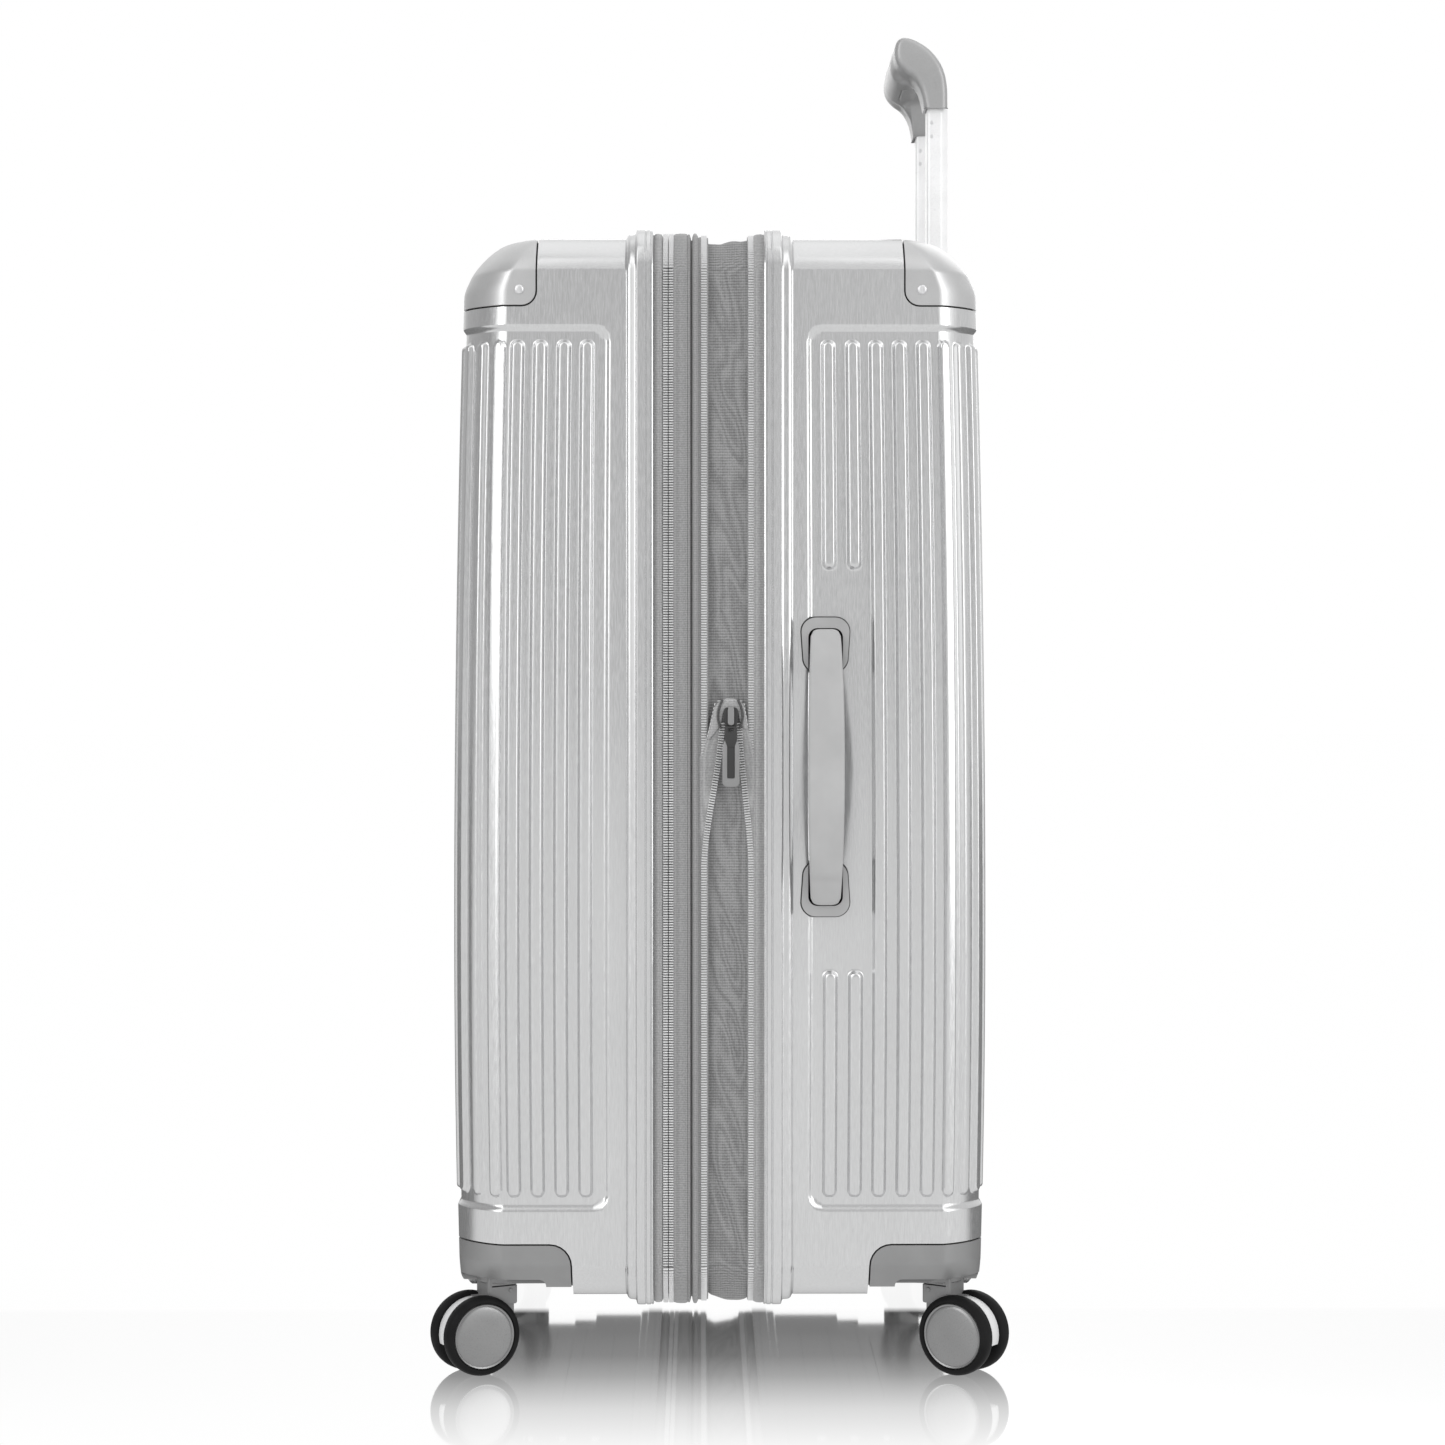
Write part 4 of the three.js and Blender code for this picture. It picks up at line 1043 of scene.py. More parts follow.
def build_gusset():
    """The slack woven gusset, with folds where it is held too full between its two zip tapes."""
    path, normals = case_path(RING_STEP, 12)
    count, columns = len(path), 15
    lengths = np.arange(count) * RING_STEP
    s = np.linspace(0, 1, columns)
    y = GUSSET_START + 2.5 + (GUSSET_END - GUSSET_START - 4.5) * s
    sag = np.sin(s * math.pi)
    points = []
    for i in range(count):
        along = lengths[i]
        for j in range(columns):
            slant = along / 46 + s[j] * 1.6
            where = Vector((slant, s[j] * 1.3, 3.7))
            ripple = noise.noise(where) * 3.4 + noise.noise(where * 2.3) * 1.6
            crease = max(0.0, noise.noise(Vector((slant * 1.3, 0.4, 9.1))) - 0.1) * 7 * sag[j]
            fine = 0.2 * noise.noise(Vector((along / 8, s[j] * 9, 0)))
            out = -0.4 - 2.4 * (1 - s[j]) ** 2 - sag[j] * (1.6 + ripple) - crease + fine
            px, pz = path[i] + normals[i] * min(out, -0.2)
            points.append((px, y[j], pz - 7.5 * sag[j] ** 0.5 * underneath(px, normals[i][1])))
    obj = mesh_of("gusset_cloth", points, grid_faces(count, columns, True, False))
    tool = obj.modifiers.new("smooth", "SUBSURF")
    tool.levels = tool.render_levels = 1
    thicken(obj, 0.5)
    piece(obj, None, GUSSET_LOOK, ["expansion_gusset"], 80)
    sized([0, GUSSET_START, 0])
    sized([0, GUSSET_END, 0])
    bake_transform(obj)
    for name, line, side_end, upper_end, seam in (
            ("expansion_coil_front", -11.2, 1.0, 423, -14.6), ("expansion_coil_back", 20.4, 12.4, 421, 24.5)):
        points, normals = expansion_path(line, side_end, upper_end, COIL_PITCH)
        teeth = coil(name, points, normals, 2.0, 1.9, 1.15, 0)
        piece(teeth, None, COIL_LOOK, (), 40)
        sized([0, GUSSET_START, 0])
        sized([0, GUSSET_END, 0])
        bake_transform(teeth)
        flap(name.replace("coil", "flap"), seam, line, side_end, upper_end, TAPE_LOOK)


# ---------------------------------------------------------------- pull-out handle
TUBE_X, TUBE_Y, GRIP_BOTTOM = 59, 159.5, 889
TUBE_HALF = 10.5  # half the inner tube's width
CATCH_HEIGHTS = (879, 869)


def tube_outline(width, depth, inset):
    """An aluminium handle tube's section: soft corners at the front and flats at the back corners."""
    w, d = width / 2 - inset, depth / 2 - inset
    soft, cut_x, cut_y = 2.2, width * 0.2, depth * 0.33
    return [(-w, -d + soft), (-w + 0.6, -d + 0.6), (-w + soft, -d), (w - soft, -d), (w - 0.6, -d + 0.6),
            (w, -d + soft), (w, d - cut_y), (w - cut_x, d), (-w + cut_x, d), (-w, d - cut_y)]


def hollow(name, outside, inside, low, high, centre):
    """A tube between two heights from an outer and an inner outline with equal point counts."""
    loops = [(outside, low), (outside, high), (inside, high), (inside, low)]
    points = [(x + centre[0], y + centre[1], z) for outline, z in loops for x, y in outline]
    return solid_of(name, points, grid_faces(4, len(outside), True, True))


def build_tubes():
    """The three stages of tube on each side of the pull handle, and the catches of the inner ones."""
    stages = (("inner", 21, 15.2, 290, 905, "trolley_upper_stage"),
              ("middle", 24.2, 18.4, 118, 743.5, "trolley_lower_stage"),
              ("outer", 27.4, 21.6, 99, 737.4, "back_half"))
    for hand_name, hand in HANDS.items():
        for stage, width, depth, low, high, body in stages:
            tube = hollow(f"{stage}_tube_{hand_name}", tube_outline(width, depth, 0),
                          tube_outline(width, depth, 1.2), low, high, (hand * TUBE_X, TUBE_Y))
            bevel(tube, 0.5, 2, 20)
            piece(tube, body, TUBE_LOOK, [f"trolley_{stage}_tube_{hand_name}"], 25)
        pins = []
        for z in CATCH_HEIGHTS:
            pins.append(lathe("pin", [(0, -1), (1.5, -1), (1.5, 0.1), (1.2, 0.25), (0, 0.25)], 16, (1, 0, 0),
                              (hand * TUBE_X + TUBE_HALF, TUBE_Y - 4.4 + 0.2, z)))
        obj = join(pins, f"tube_catches_{hand_name}")
        piece(obj, "trolley_upper_stage", RIVET_LOOK, (), 50)


GRIP_ARM = ((149.8, 0), (166.9, 0), (166.8, 18), (163.4, 31), (155.6, 42), (145.2, 49.2), (135.8, 52.2),
            (130.2, 50.2), (127.9, 43.5), (128.8, 34), (134.6, 27), (142, 22.5), (147.6, 13))
GRIP_BAR = ((147.0, 24.4), (153, 25.4), (159.6, 28), (159.8, 34), (154.6, 42.4), (145.0, 49.2), (135.8, 52.2),
            (130.0, 50.2), (127.0, 42.8), (126.9, 32), (131.8, 25), (138.4, 22.6), (143.4, 23))


def rounded_loop(points, sharp=(), rounds=3):
    """Corner cutting on a closed outline. Corners listed in sharp stay nearly sharp."""
    loop = []
    for i, point in enumerate(points):
        loop += [point] * (3 if i in sharp else 1)
    for _ in range(rounds):
        cut = []
        for (x0, y0), (x1, y1) in zip(loop, loop[1:] + loop[:1]):
            cut += [(0.75 * x0 + 0.25 * x1, 0.75 * y0 + 0.25 * y1),
                    (0.25 * x0 + 0.75 * x1, 0.25 * y0 + 0.75 * y1)]
        loop = cut
    return np.array(loop)


def drawn_in(loop, by):
    """A closed outline moved inwards along its own normals."""
    ahead, behind = np.roll(loop, -1, 0), np.roll(loop, 1, 0)
    run = ahead - behind
    size = np.hypot(run[:, 0], run[:, 1])
    size[size < 1e-9] = 1
    normal = np.stack([run[:, 1], -run[:, 0]], 1) / size[:, None]
    return loop - normal * by


def build_grip():
    """One moulded loop: arms that rise from the tubes and curve forwards into a thick round bar."""
    arm = rounded_loop(GRIP_ARM, sharp=(0, 1))
    bar = rounded_loop(GRIP_BAR, sharp=(0, 1))
    half, turn, edge = 72.5, 5.0, (34.0, 50.0)
    stations = [half - turn + turn * math.sin(a) for a in np.linspace(0, math.pi / 2, 7)][::-1]
    stations += list(np.linspace(edge[1], half - turn, 4)[::-1][1:])
    stations += list(np.linspace(edge[0], edge[1], 9)[::-1][1:])
    stations += list(np.linspace(0, edge[0], 6)[::-1][1:])
    stations = stations + [-x for x in stations[::-1][1:]]
    points = []
    for x in stations:
        share = float(smooth((abs(x) - edge[0]) / (edge[1] - edge[0])))
        loop = bar + (arm - bar) * share
        over = max(0.0, abs(x) - (half - turn)) / turn
        lip = turn * (1 - math.sqrt(max(0.0, 1 - over * over)))
        if lip > 0:
            drawn = drawn_in(loop, lip)
            keep = np.clip(loop[:, 1] / 6, 0, 1)[:, None]
            loop = loop + (drawn - loop) * np.concatenate([np.ones_like(keep), keep], 1)
        points += [(x, y, GRIP_BOTTOM + z) for y, z in loop]
    count = len(arm)
    faces = grid_faces(len(stations), count, False, True)
    faces += end_faces(len(stations), count)
    grip = solid_of("grip_moulding", points, faces)
    for hand in HANDS.values():
        socket = slab("cut", rounded(21.9, 16.1, 3, 3), (-5, 14), (hand * TUBE_X, TUBE_Y, GRIP_BOTTOM))
        combine(grip, socket, "DIFFERENCE")
    button_at = (0, 142.5, GRIP_BOTTOM + 31)
    slot = slab("cut", rounded(43.8, 11.8, 5), (-20, 0), button_at)
    combine(grip, slot, "DIFFERENCE")
    piece(grip, "trolley_upper_stage", GRIP_LOOK, ["trolley_grip"], 40)
    button = slab("grip_button", rounded(43, 11, 4.6), (-8.6, -0.6), button_at)
    bevel(button, 1.2, 3)
    piece(button, "trolley_button", GRIP_LOOK, ["trolley_button"], 40)


def build_tray():
    """The pull handle's sunk tray in the top of the back half, and the bracket at its tubes' feet."""
    tray = half_solid("trolley_tray_moulding", SIDES["back"])
    combine(tray, box("cut", (-TRAY["x"], TRAY["front"], TRAY["low"]), (TRAY["x"], 220, 800)), "INTERSECT")
    pocket = slab("cut", rounded(166, 45.5, 8), (0, 60), (0, 149.5, TRAY["floor"]))
    combine(tray, pocket, "DIFFERENCE")
    for hand in HANDS.values():
        hole = slab("cut", rounded(25.2, 19.4, 3, 3), (-20, 20), (hand * TUBE_X, TUBE_Y, TRAY["floor"]))
        combine(tray, hole, "DIFFERENCE")
    bevel(tray, 0.8, 2, 50)
    piece(tray, "back_half", HOUSING_LOOK, ["trolley_tray"], 35)
    foot = slab("trolley_foot", rounded(162, 24.6, 5), (90, 98.6), (0, 161.6, 0))
    bevel(foot, 1.2, 2)
    piece(foot, "back_half", HOUSING_LOOK, ["trolley_foot_bracket"], 40)


# ---------------------------------------------------------------- carry handles
STRAP_HALF, STRAP_BOW, STRAP_THICK = 91.5, 14, 5.2
PLATE_WIDTH, PLATE_LENGTH, PLATE_END, PLATE_THICK = 32, 37.4, 99.3, 5
POCKET_SHADE_AT = 77.3  # painted shade on the floor of a plate's pocket, from the middle of the handle


def strap_width(share):
    """The strap's width at a share of its half length: full in the middle, drawn in at the ends."""
    return 24.2 - 4.6 * abs(share) ** 2.4


def build_carry_handle(name, body, along, off, at):
    """A bowed strap whose ends slide in two U-shaped plates."""
    along, off, at = (np.array(v, float) for v in (along, off, at))
    across = np.cross(off, along)
    near_ends = {sign * share for sign in (-1, 1) for share in (0.8, 0.805, 0.985, 0.995)}
    shares = sorted(set(np.linspace(-1, 1, 41)) | near_ends)
    points, count = [], 0
    for share in shares:
        rise = 3 + STRAP_BOW * (1 - abs(share) ** 2.6)
        end = max(0.0, (abs(share) - 0.945) / 0.055)
        width = strap_width(share) - 9.0 * (1 - math.sqrt(max(0.0, 1 - end * end)))
        thick = STRAP_THICK - (0.35 if abs(share) > 0.802 else 0.0)
        outline = rounded(width, thick, 1.9, 4, at=(0, thick / 2))
        outline = [(a, b + 0.5 * (1 - (2 * a / width) ** 2) * (b > thick / 2)) for a, b in outline]
        count = len(outline)
        points += [tuple(at + along * share * STRAP_HALF + across * a + off * (rise + b))
                   for a, b in outline]
    faces = grid_faces(len(shares), count, False, True)
    faces += end_faces(len(shares), count)
    strap = solid_of(f"{name}_strap_moulding", points, faces)
    piece(strap, name, STRAP_LOOK, [f"{name}_strap"], 40)
    ends = ("lower", "upper") if name == "side_handle" else ("left", "right")
    for end_name, end in zip(ends, (-1, 1)):
        middle = at + along * end * (PLATE_END - PLATE_LENGTH / 2)
        outline = []
        for a, b in rounded(PLATE_LENGTH, PLATE_WIDTH, 9.5, 7):
            inner = end * a < 0
            outline.append((a + (end * 1.5 if inner else 0), b * (0.93 if inner else 1)))
        plate = prism(f"{name}_plate_{end_name}_moulding", outline, (0.4, PLATE_THICK + 0.3), along, across,
                      middle)
        pocket = rounded(2 * STRAP_HALF + 1.4, strap_width(1) + 3.4, 6, 6)
        cut = prism("cut", pocket, (2.2, 12), along, across, at)
        combine(plate, cut, "DIFFERENCE")
        bevel(plate, 1.3, 3, 50)
        piece(plate, body, PLATE_LOOK, [f"{name}_plate_{end_name}"], 35, True)
        # a near-black rim under each plate: painted shade in the gap round the plate
        shade_rim_line = [(a * (1 + 1.5 / PLATE_LENGTH), b * (1 + 1.5 / PLATE_WIDTH)) for a, b in outline]
        seat = prism(f"{name}_plate_{end_name}_seat", shade_rim_line, (-1.1, 0.6), along, across, middle)
        piece(seat, body, SHADE_SHEET_LOOK, (), 35)
        # a near-black sheet on each pocket's floor: painted shade beside the strap's end
        pocket_shade = prism(f"{name}_pocket_{end_name}_liner", rounded(29.5, strap_width(1) + 3.2, 5.5, 5),
                      (1.8, 2.45), along, across, at + along * end * POCKET_SHADE_AT)
        piece(pocket_shade, body, SHADE_SHEET_LOOK, (), 35)


# ---------------------------------------------------------------- zip sliders and pulls
def loop_of(points, radius, steps=8):
    """A round bar swept along an open line of 3-D points, with domed ends."""
    points = [Vector(p) for p in points]
    verts, faces = [], []
    up = Vector((0.3, 0.2, 0.9)).normalized()
    for i, p in enumerate(points):
        ahead = (points[min(i + 1, len(points) - 1)] - points[max(i - 1, 0)]).normalized()
        side = ahead.cross(up).normalized()
        other = side.cross(ahead)
        for k in range(steps):
            a = 2 * math.pi * k / steps
            verts.append(tuple(p + (side * math.cos(a) + other * math.sin(a)) * radius))
    faces = grid_faces(len(points), steps, False, True)
    faces += end_faces(len(points), steps)
    return solid_of("loop", verts, faces)


def build_slider(name, body, node, right, up, origin, size=1.0):
    """A zip slider seen from outside: a shaped plate with a raised bridge that the pull hangs from."""
    r, u, o = (np.array(v, float) for v in (right, up, origin))
    plan = rounded_loop([(-3.6, -7.4), (3.6, -7.4), (4.4, -2), (5.4, 4.6), (3.2, 7.4), (0, 6.2), (-3.2, 7.4),
                         (-5.4, 4.6), (-4.4, -2)], rounds=2) * size
    plate = prism("plate", [tuple(p) for p in plan], (2.6, 4.0), r, u, o)
    bevel(plate, 0.5, 2)
    under = prism("under", [tuple(p * 0.92) for p in plan], (0.1, 1.2), r, u, o)
    bevel(under, 0.4, 2)
    post = prism("post", rounded(2.4, 4, 0.8, 2, at=(0, 4 * size)), (0.6, 3.2), r, u, o)
    foot = prism("foot", rounded(2.6, 3, 1, 3, at=(0, -3.4)), (3.6, 5.6), r, u, o)
    head = prism("head", rounded(2.6, 3, 1, 3, at=(0, 5.6)), (3.6, 5.6), r, u, o)
    whole = join([plate, under, post, foot, head], name)
    piece(whole, body, PULL_LOOK, [node], 45)
    bridge = prism(f"{name}_bridge", rounded(4.2, 12.4, 2, 5, at=(0, 1.2)), (5.2, 6.4), r, u, o)
    bevel(bridge, 0.5, 3)
    piece(bridge, body, TAB_LOOK, (), 45)


def build_pull(name, body, node, right, up, origin, width, length):
    """A pull tab that hangs from origin towards -up: a dark neck and a framed rounded end."""
    r, u, o = (np.array(v, float) for v in (right, up, origin))
    half = width / 2
    neck = half * 0.72
    top, shoulder, inlay = -length * 0.2, -length * 0.31, width * 0.43
    frame_line = [(-neck, top), (0, top - 2), (neck, top), (half, shoulder), (half, -length + 3),
                  (half - 0.9, -length + 0.9), (half - 3, -length), (-half + 3, -length),
                  (-half + 0.9, -length + 0.9), (-half, -length + 3), (-half, shoulder)]
    tab = prism(name, frame_line, (-0.1, 1.9), r, u, o)
    window = rounded(width * 0.46, length * 0.6, 1.0, 3, at=(0, -length * 0.56))
    inset = prism("cut", window, (1.2, 5), r, u, o)
    combine(tab, inset, "DIFFERENCE")
    bevel(tab, 0.4, 2, 40)
    piece(tab, body, TAB_LOOK, [node], 35)
    neck_line = [(-neck, 0.8), (-neck + 1, 1.6), (neck - 1, 1.6), (neck, 0.8), (neck, top + 0.1),
                 (inlay / 2, shoulder), (-inlay / 2, shoulder), (-neck, top + 0.1)]
    shank = prism(f"{name}_neck", neck_line, (0, 2.0), r, u, o)
    eye = prism("cut", rounded(neck * 1.1, 2.6, 1.2, 3, at=(0, -0.9)), (-5, 5), r, u, o)
    combine(shank, eye, "DIFFERENCE")
    bevel(shank, 0.3, 2, 40)
    piece(shank, body, PULL_LOOK, (), 35)
    fill = prism(f"{name}_inlay", rounded(inlay, length * 0.585, 0.9, 3, at=(0, -length * 0.56)),
                 (0.9, 1.35), r, u, o)
    piece(fill, body, PULL_LOOK, (), 35)


MAIN_SLIDER_X = 24  # the main zip's two sliders meet in the middle of the top


def build_zip_hardware():
    """The sliders and pulls of the expansion zip and of the main zip."""
    right, up = (0, 1, 0), (0, 0, 1)
    face = HALF_WIDTH + 2.6
    build_slider("expansion_slider", "expansion_zip_slider", "expansion_zip_slider", right, up,
                 (face, SLIDER_Y, SLIDER_Z - 3.4))
    build_pull("expansion_pull", "expansion_zip_pull", "expansion_zip_pull", right, up,
               (HALF_WIDTH + 8.2, SLIDER_Y, SLIDER_Z - 10.5), 11.4, 38.5)
    for hand_name, hand in HANDS.items():
        build_slider(f"main_slider_{hand_name}", f"main_zip_slider_{hand_name}",
                     f"main_zip_slider_{hand_name}", (0, 1, 0), (-hand, 0, 0),
                     (hand * MAIN_SLIDER_X, -35, 773.4))
        build_pull(f"main_pull_{hand_name}", f"main_zip_pull_{hand_name}", f"main_zip_pull_{hand_name}",
                   (-1, 0, 0), (0, 1, 0), (hand * MAIN_SLIDER_X, -37.5, 779.0), 9.6, 29.5)


def build_garage():
    """The stitched fabric patch over the end of the expansion zip."""
    x = HALF_WIDTH + 2.9
    outline = rounded_loop([(-2.6, 461.5), (14.6, 461.5), (17.8, 447), (18.2, 440), (13.2, 444), (11.5, 455),
                            (1.8, 455), (0.2, 444), (-6.0, 436), (-9.6, 433), (-7.2, 445)], rounds=2)
    patch = prism("zip_garage_patch", [tuple(p) for p in outline], (0, 0.9), (0, 1, 0), (0, 0, 1), (x, 0, 0))
    bevel(patch, 0.3, 2, 40)
    piece(patch, "expansion_zip_end", TAPE_LOOK, ["expansion_zip_garage"], 60)
    loops = []
    for y0, side in ((0.2, -1), (12.6, 1)):
        line = []
        for i in range(13):
            t = i / 12
            bow = 2.6 * math.sin(t * math.pi) ** 0.8 - 1.2 * (1 - t)
            line.append((x + 1.2, y0 + side * bow, 460.5 - 19 * t))
        loops.append(loop_of(line, 0.9))
    piping = join(loops, "zip_garage_piping")
    piece(piping, "expansion_zip_end", WEB_LOOK, (), 60)
    stitches = []
    runs = (((-2.8, 459.9), (14.8, 459.9)), ((-3.6, 459), (-9, 435.5)), ((15.4, 459), (18.0, 443)))
    for (y0, z0), (y1, z1) in runs:
        length = math.hypot(y1 - y0, z1 - z0)
        count = int(length / 2.6)
        for i in range(count):
            a, b = (i + 0.2) / count, (i + 0.8) / count
            stitch = [(x + 1.0, y0 + (y1 - y0) * t, z0 + (z1 - z0) * t) for t in (a, (a + b) / 2, b)]
            stitches.append(loop_of(stitch, 0.35, 5))
    thread = join(stitches, "zip_garage_stitches")
    piece(thread, "expansion_zip_end", THREAD_LOOK, (), 60)


# ---------------------------------------------------------------- lock
DIALS = [-22 + 10 * i for i in range(3)]  # X of each dial


def build_lock():
    """The combination lock on the front half: its body, key barrel, three dials and release button."""
    half, front, back, low, high = 33, -102, -73, 770.6, 780
    middle = (front + back) / 2
    body = slab("lock_housing", rounded(2 * half, back - front, 5, 6, at=(0, middle)), (low, high))
    bevel(body, 1.6, 3, 50)
    for x in DIALS:
        combine(body, box("cut", (x - 2.8, -98.9, 760), (x + 2.8, -85.1, 900)), "DIFFERENCE")
    combine(body, box("cut", (16.6, -95.4, high - 3), (27.4, -83.6, 900)), "DIFFERENCE")
    combine(body, lathe("cut", [(0, -2), (3.4, -2), (3.4, 9), (0, 9)], 28, (0, 0, 1), (22, -78.4, high)),
            "DIFFERENCE")
    groove = slab("cut", rounded(50, 2.2, 1, 3, at=(-4, -80.5)), (high - 0.5, 900))
    combine(body, groove, "DIFFERENCE")
    piece(body, "front_half", FORK_LOOK, ["lock_body"], 35, True)
    key = slab("lock_key_barrel", rounded(5.6, 5.6, 2.7, 6, at=(22, -78.4)), (high - 3, high - 0.8))
    combine(key, box("cut", (21.5, -80.3, high - 2.4), (22.5, -76.5, 900)), "DIFFERENCE")
    piece(key, "front_half", RIVET_LOOK, (), 35)
    for i, x in enumerate(DIALS):
        outline = []
        for k in range(10):
            for share, radius in ((0.0, 5.5), (0.14, 6.4), (0.5, 6.4), (0.86, 6.4)):
                a = 2 * math.pi * (k + share) / 10
                outline.append((radius * math.cos(a), radius * math.sin(a)))
        dial = prism(f"lock_dial_wheel_{i + 1}", outline, (-2.4, 2.4), (0, 1, 0), (0, 0, 1),
                     (x, -92, 777))
        bevel(dial, 0.3, 2, 50)
        piece(dial, f"lock_dial_{i + 1}", RIVET_LOOK, [f"lock_dial_{i + 1}"], 35)
    button = slab("lock_button", rounded(10, 8, 1.8, 4, at=(22, -88)), (high - 2.6, high + 1.4))
    bevel(button, 0.8, 3)
    piece(button, "lock_release", PULL_LOOK, ["lock_release"], 35)


# ---------------------------------------------------------------- linings and packing straps
LINING_INSET = 6.4


def build_lining(name):
    """Cloth glued inside a half shell. The back one stands out over the handle's tubes and tray."""
    side = SIDES[name]
    plan = Plan(side, LINING_INSET)
    top, bottom = TOP - LINING_INSET, BOTTOM + LINING_INSET
    columns = set(np.linspace(0, plan.flat, 17)) | set(range(74, 111, 4))
    columns |= set(plan.flat + np.linspace(0, plan.corner, 9))
    columns |= set(np.linspace(plan.flat + plan.corner, plan.total - 4, 7))
    columns = spaced(columns, 1.5)
    columns = np.concatenate([-columns[::-1][:-1], columns])
    rows = set(np.linspace(bottom, top, 48)) | {716, 722, 728, 734}
    rows |= {end for step in (3, 8, 15) for end in (bottom + step, top - step)}
    rows = spaced(rows, 1.5)
    rows[0], rows[-1] = bottom, top
    t, z = np.meshgrid(columns, rows)
    x, d, nx, nd = plan.at(t)
    rise = EDGE_REACH - 3
    to_end = np.minimum(top - z, z - bottom)
    shrink_x = fall(rise - to_end, rise, rise, EDGE_ROUNDING) / plan.half
    shrink_d = (face_profile(z, top, bottom) + BOW) / plan.depth
    seed = 2.0 if name == "back" else 7.0
    puffs = np.array([[noise.noise(Vector((a / 60, b / 60, seed))) for a in columns] for b in rows])
    out = -0.8 - 1.1 * np.clip(puffs + 0.4, 0, 1)
    x, d = x * (1 - shrink_x) + nx * out, d * (1 - shrink_d) + nd * out
    if name == "back":
        over = smooth((103 - np.abs(t)) / 11)
        depth = 27 + 25 * smooth((z - 714) / 16)
        d = np.where(over > 0, d + (np.minimum(plan.depth - depth, d) - d) * over, d)
    y = side["edge"] + side["out"] * d
    points = np.stack([x, y, z], -1).reshape(-1, 3)
    count_r, count_c = t.shape
    faces = grid_faces(count_r, count_c)
    faces += end_faces(count_r, count_c)
    obj = mesh_of(f"{name}_lining_cloth", points, faces)
    thicken(obj, 0.6)
    piece(obj, f"{name}_half", LINING_LOOK, [f"{name}_lining"], 50)


def build_packing_straps():
    """Two elastic straps that cross in the mouth of the back half, joined by a buckle."""
    lean, reach = math.atan2(230, 253), 341.0
    for label, sign in (("a", 1), ("b", -1)):
        along = np.array([math.cos(lean), 0, sign * math.sin(lean)])
        across = np.array([-sign * math.sin(lean), 0, math.cos(lean)])
        base = np.array([0, 36.6 + (0.9 if sign > 0 else 0.0), 410])
        points = []
        shares = np.linspace(-1, 1, 61)
        for share in shares:
            for w in np.linspace(-12.5, 12.5, 5):
                p = base + along * share * reach + across * w
                p[1] += 0.25 * math.sin(share * 9 + w * 0.05)
                points.append(tuple(p))
        obj = mesh_of(f"packing_strap_{label}", points, grid_faces(len(shares), 5))
        thicken(obj, 1.0)
        piece(obj, "back_half", WEB_LOOK, ["cross_strap"] if label == "a" else (), 50)
    buckle = prism("packing_buckle", rounded(56, 38, 8, 6, at=(0, 410)), (30.2, 33.4), (-1, 0, 0), (0, 0, 1),
                   (0, 0, 0))
    bevel(buckle, 1.0, 2)
    hub = prism("packing_buckle_clip", rounded(30, 22, 5, 5, at=(0, 410)), (28.4, 31.2), (-1, 0, 0),
                (0, 0, 1), (0, 0, 0))
    bevel(hub, 1.0, 2)
    piece(buckle, "back_half", HOUSING_LOOK, ["strap_buckle"], 40)
    piece(hub, "back_half", FORK_LOOK, (), 40)


def build_hinge_strip():
    """The cloth strip that joins the front half to the frame band on the left side."""
    rows, columns = 62, 9
    points = []
    for z in np.linspace(110, 720, rows):
        for y in np.linspace(-44, -24, columns):
            wave = 0.25 * noise.noise(Vector((z / 40, y / 12, 0)))
            points.append((-HALF_WIDTH - 4.4 - wave, y, z))
    obj = mesh_of("hinge_cloth", points, grid_faces(rows, columns))
    thicken(obj, 0.9)
    piece(obj, None, TAPE_LOOK, ["hinge_strip"], 60)
    sized([-HALF_WIDTH, -33.0, 0])
    sized([-HALF_WIDTH, -38.0, 0])
    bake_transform(obj)


build_half("front")
build_half("back")
build_rivets()
build_bands()
build_gusset()
build_tubes()
build_grip()
build_tray()
build_carry_handle("side_handle", "back_half", (0, 0, 1), (1, 0, 0), (HALF_WIDTH, 70, 416))
build_carry_handle("top_handle", "back_half", (1, 0, 0), (0, 0, 1), (0, 82, TOP))
build_zip_hardware()
build_garage()
build_lock()
build_lining("front")
build_lining("back")
build_packing_straps()
build_hinge_strip()

# ---------------------------------------------------------------- floor
floor = mesh_of("floor", [(-30, -30, 0), (30, -30, 0), (30, 30, 0), (-30, 30, 0)], [(0, 1, 2, 3)], False)


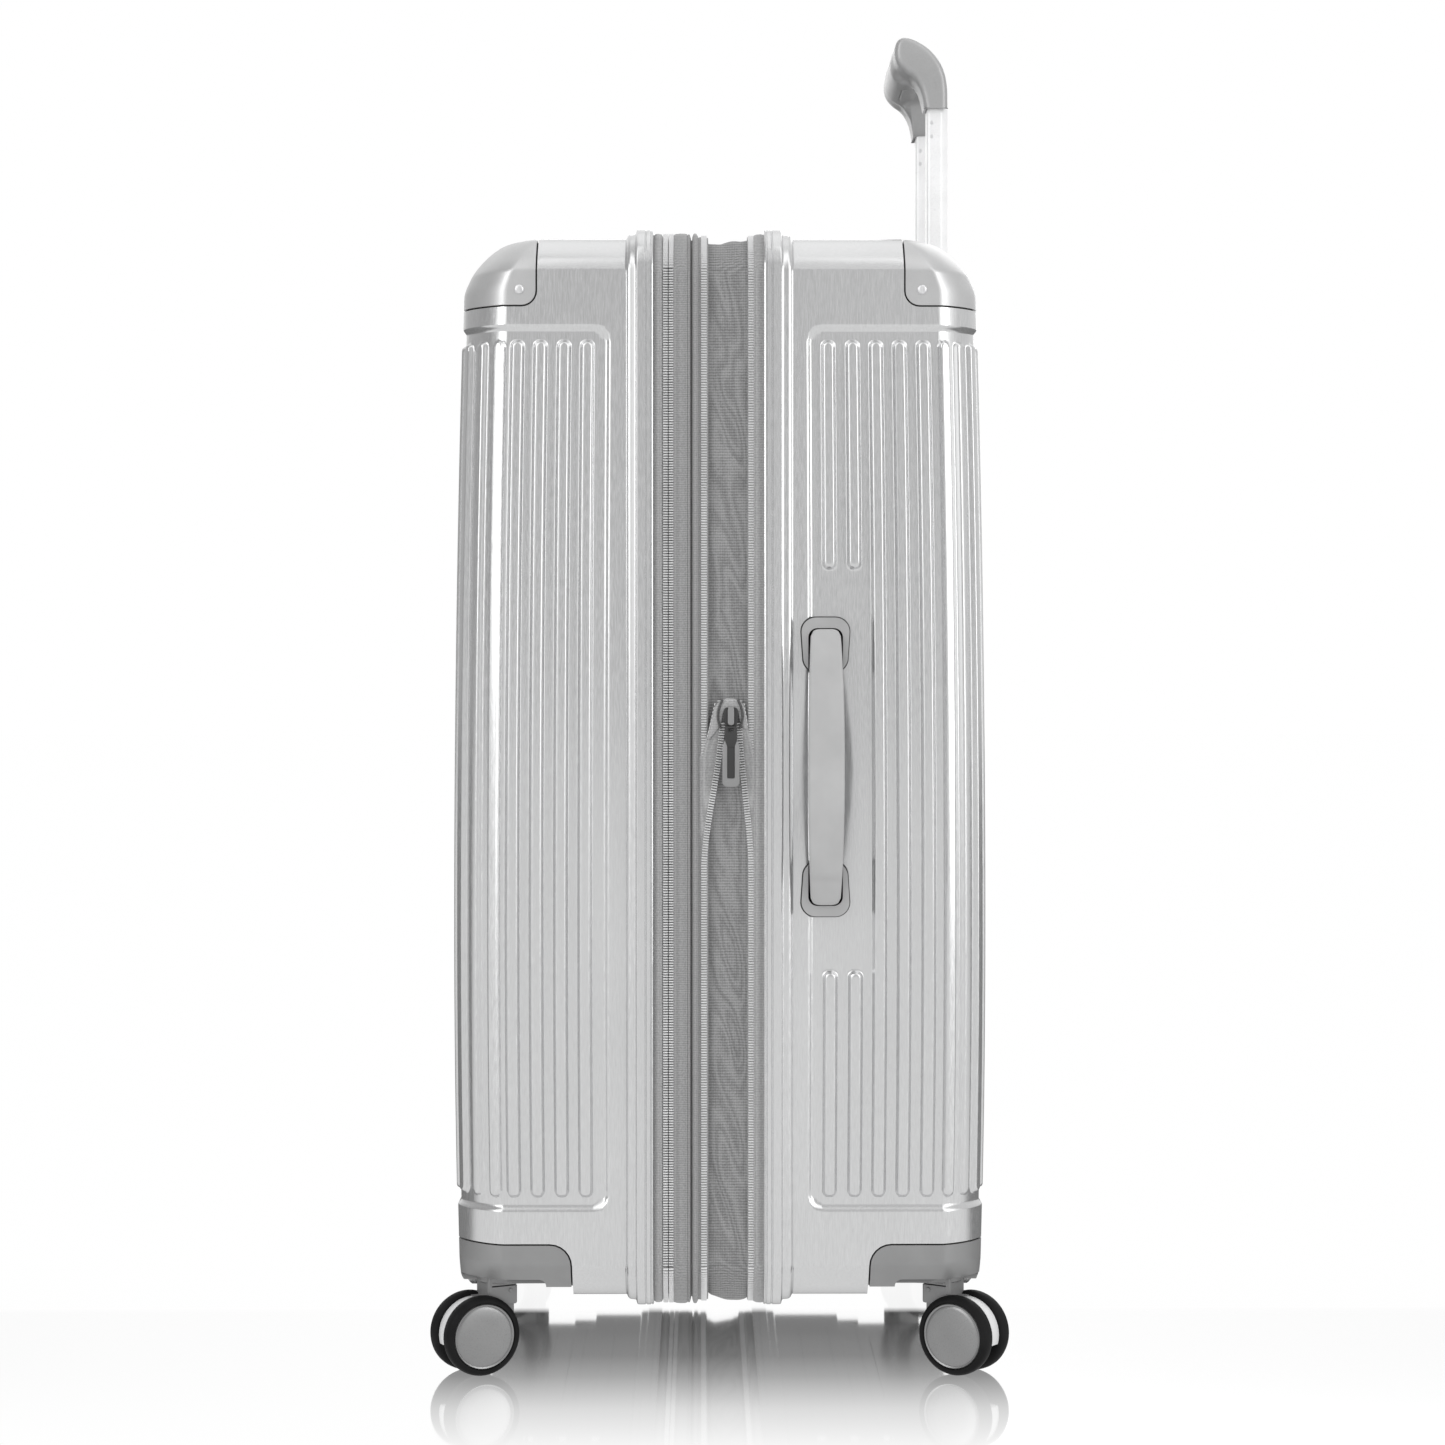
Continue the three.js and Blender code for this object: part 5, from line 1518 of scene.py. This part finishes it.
MIRROR_SHARES = ((0.0, 0.04), (0.25, 0.1), (0.275, 0.96), (0.36, 0.94), (0.46, 0.88), (0.54, 0.72),
                 (0.66, 0.34), (0.8, 0.06))  # how much the floor mirrors, from behind the case to its front


def floor_finish():
    """White polished floor: it mirrors the case beneath it, and turns plain white in front. It glows rather
    than being lit: white to the camera, and to bounced light dim under the case as a painted shadow and
    bright in front.
    """
    look = bpy.data.materials.new("floor_finish")
    look.use_nodes = True
    nodes, links = look.node_tree.nodes, look.node_tree.links
    nodes.clear()
    where = nodes.new("ShaderNodeTexCoord")
    split = nodes.new("ShaderNodeSeparateXYZ")
    links.new(where.outputs["Object"], split.inputs[0])
    span = map_range(nodes, links, split.outputs["X"], From_Min=-0.2, From_Max=0.6)
    ramp = nodes.new("ShaderNodeValToRGB")
    fill_ramp(ramp, MIRROR_SHARES)
    links.new(span, ramp.inputs["Fac"])
    grain = nodes.new("ShaderNodeTexNoise")
    grain.inputs["Scale"].default_value = 6
    rough = map_range(nodes, links, grain.outputs["Fac"], To_Min=0.035, To_Max=0.07)
    mirror = nodes.new("ShaderNodeBsdfGlossy")
    mirror.inputs["Color"].default_value = (1, 1, 1, 1)
    links.new(rough, mirror.inputs["Roughness"])
    # painted shadow: to rays that bounce off the floor it glows 0.18 under and behind the case and 0.85 in
    # front; the camera sees white
    shade = map_range(nodes, links, split.outputs["X"], From_Min=0.1, From_Max=0.22, To_Min=0.18, To_Max=0.85)
    path = nodes.new("ShaderNodeLightPath")
    glow = nodes.new("ShaderNodeMath")
    glow.operation = "MAXIMUM"
    links.new(path.outputs["Is Camera Ray"], glow.inputs[0])
    links.new(shade, glow.inputs[1])
    plain = nodes.new("ShaderNodeEmission")
    links.new(glow.outputs[0], plain.inputs["Strength"])
    mix = nodes.new("ShaderNodeMixShader")
    share = nodes.new("ShaderNodeMath")
    share.operation = "MULTIPLY"
    links.new(ramp.outputs["Color"], share.inputs[0])
    links.new(path.outputs["Is Camera Ray"], share.inputs[1])
    links.new(share.outputs[0], mix.inputs["Fac"])
    links.new(plain.outputs[0], mix.inputs[1])
    links.new(mirror.outputs[0], mix.inputs[2])
    out = nodes.new("ShaderNodeOutputMaterial")
    links.new(mix.outputs[0], out.inputs["Surface"])
    return look


floor.data.materials.append(floor_finish())
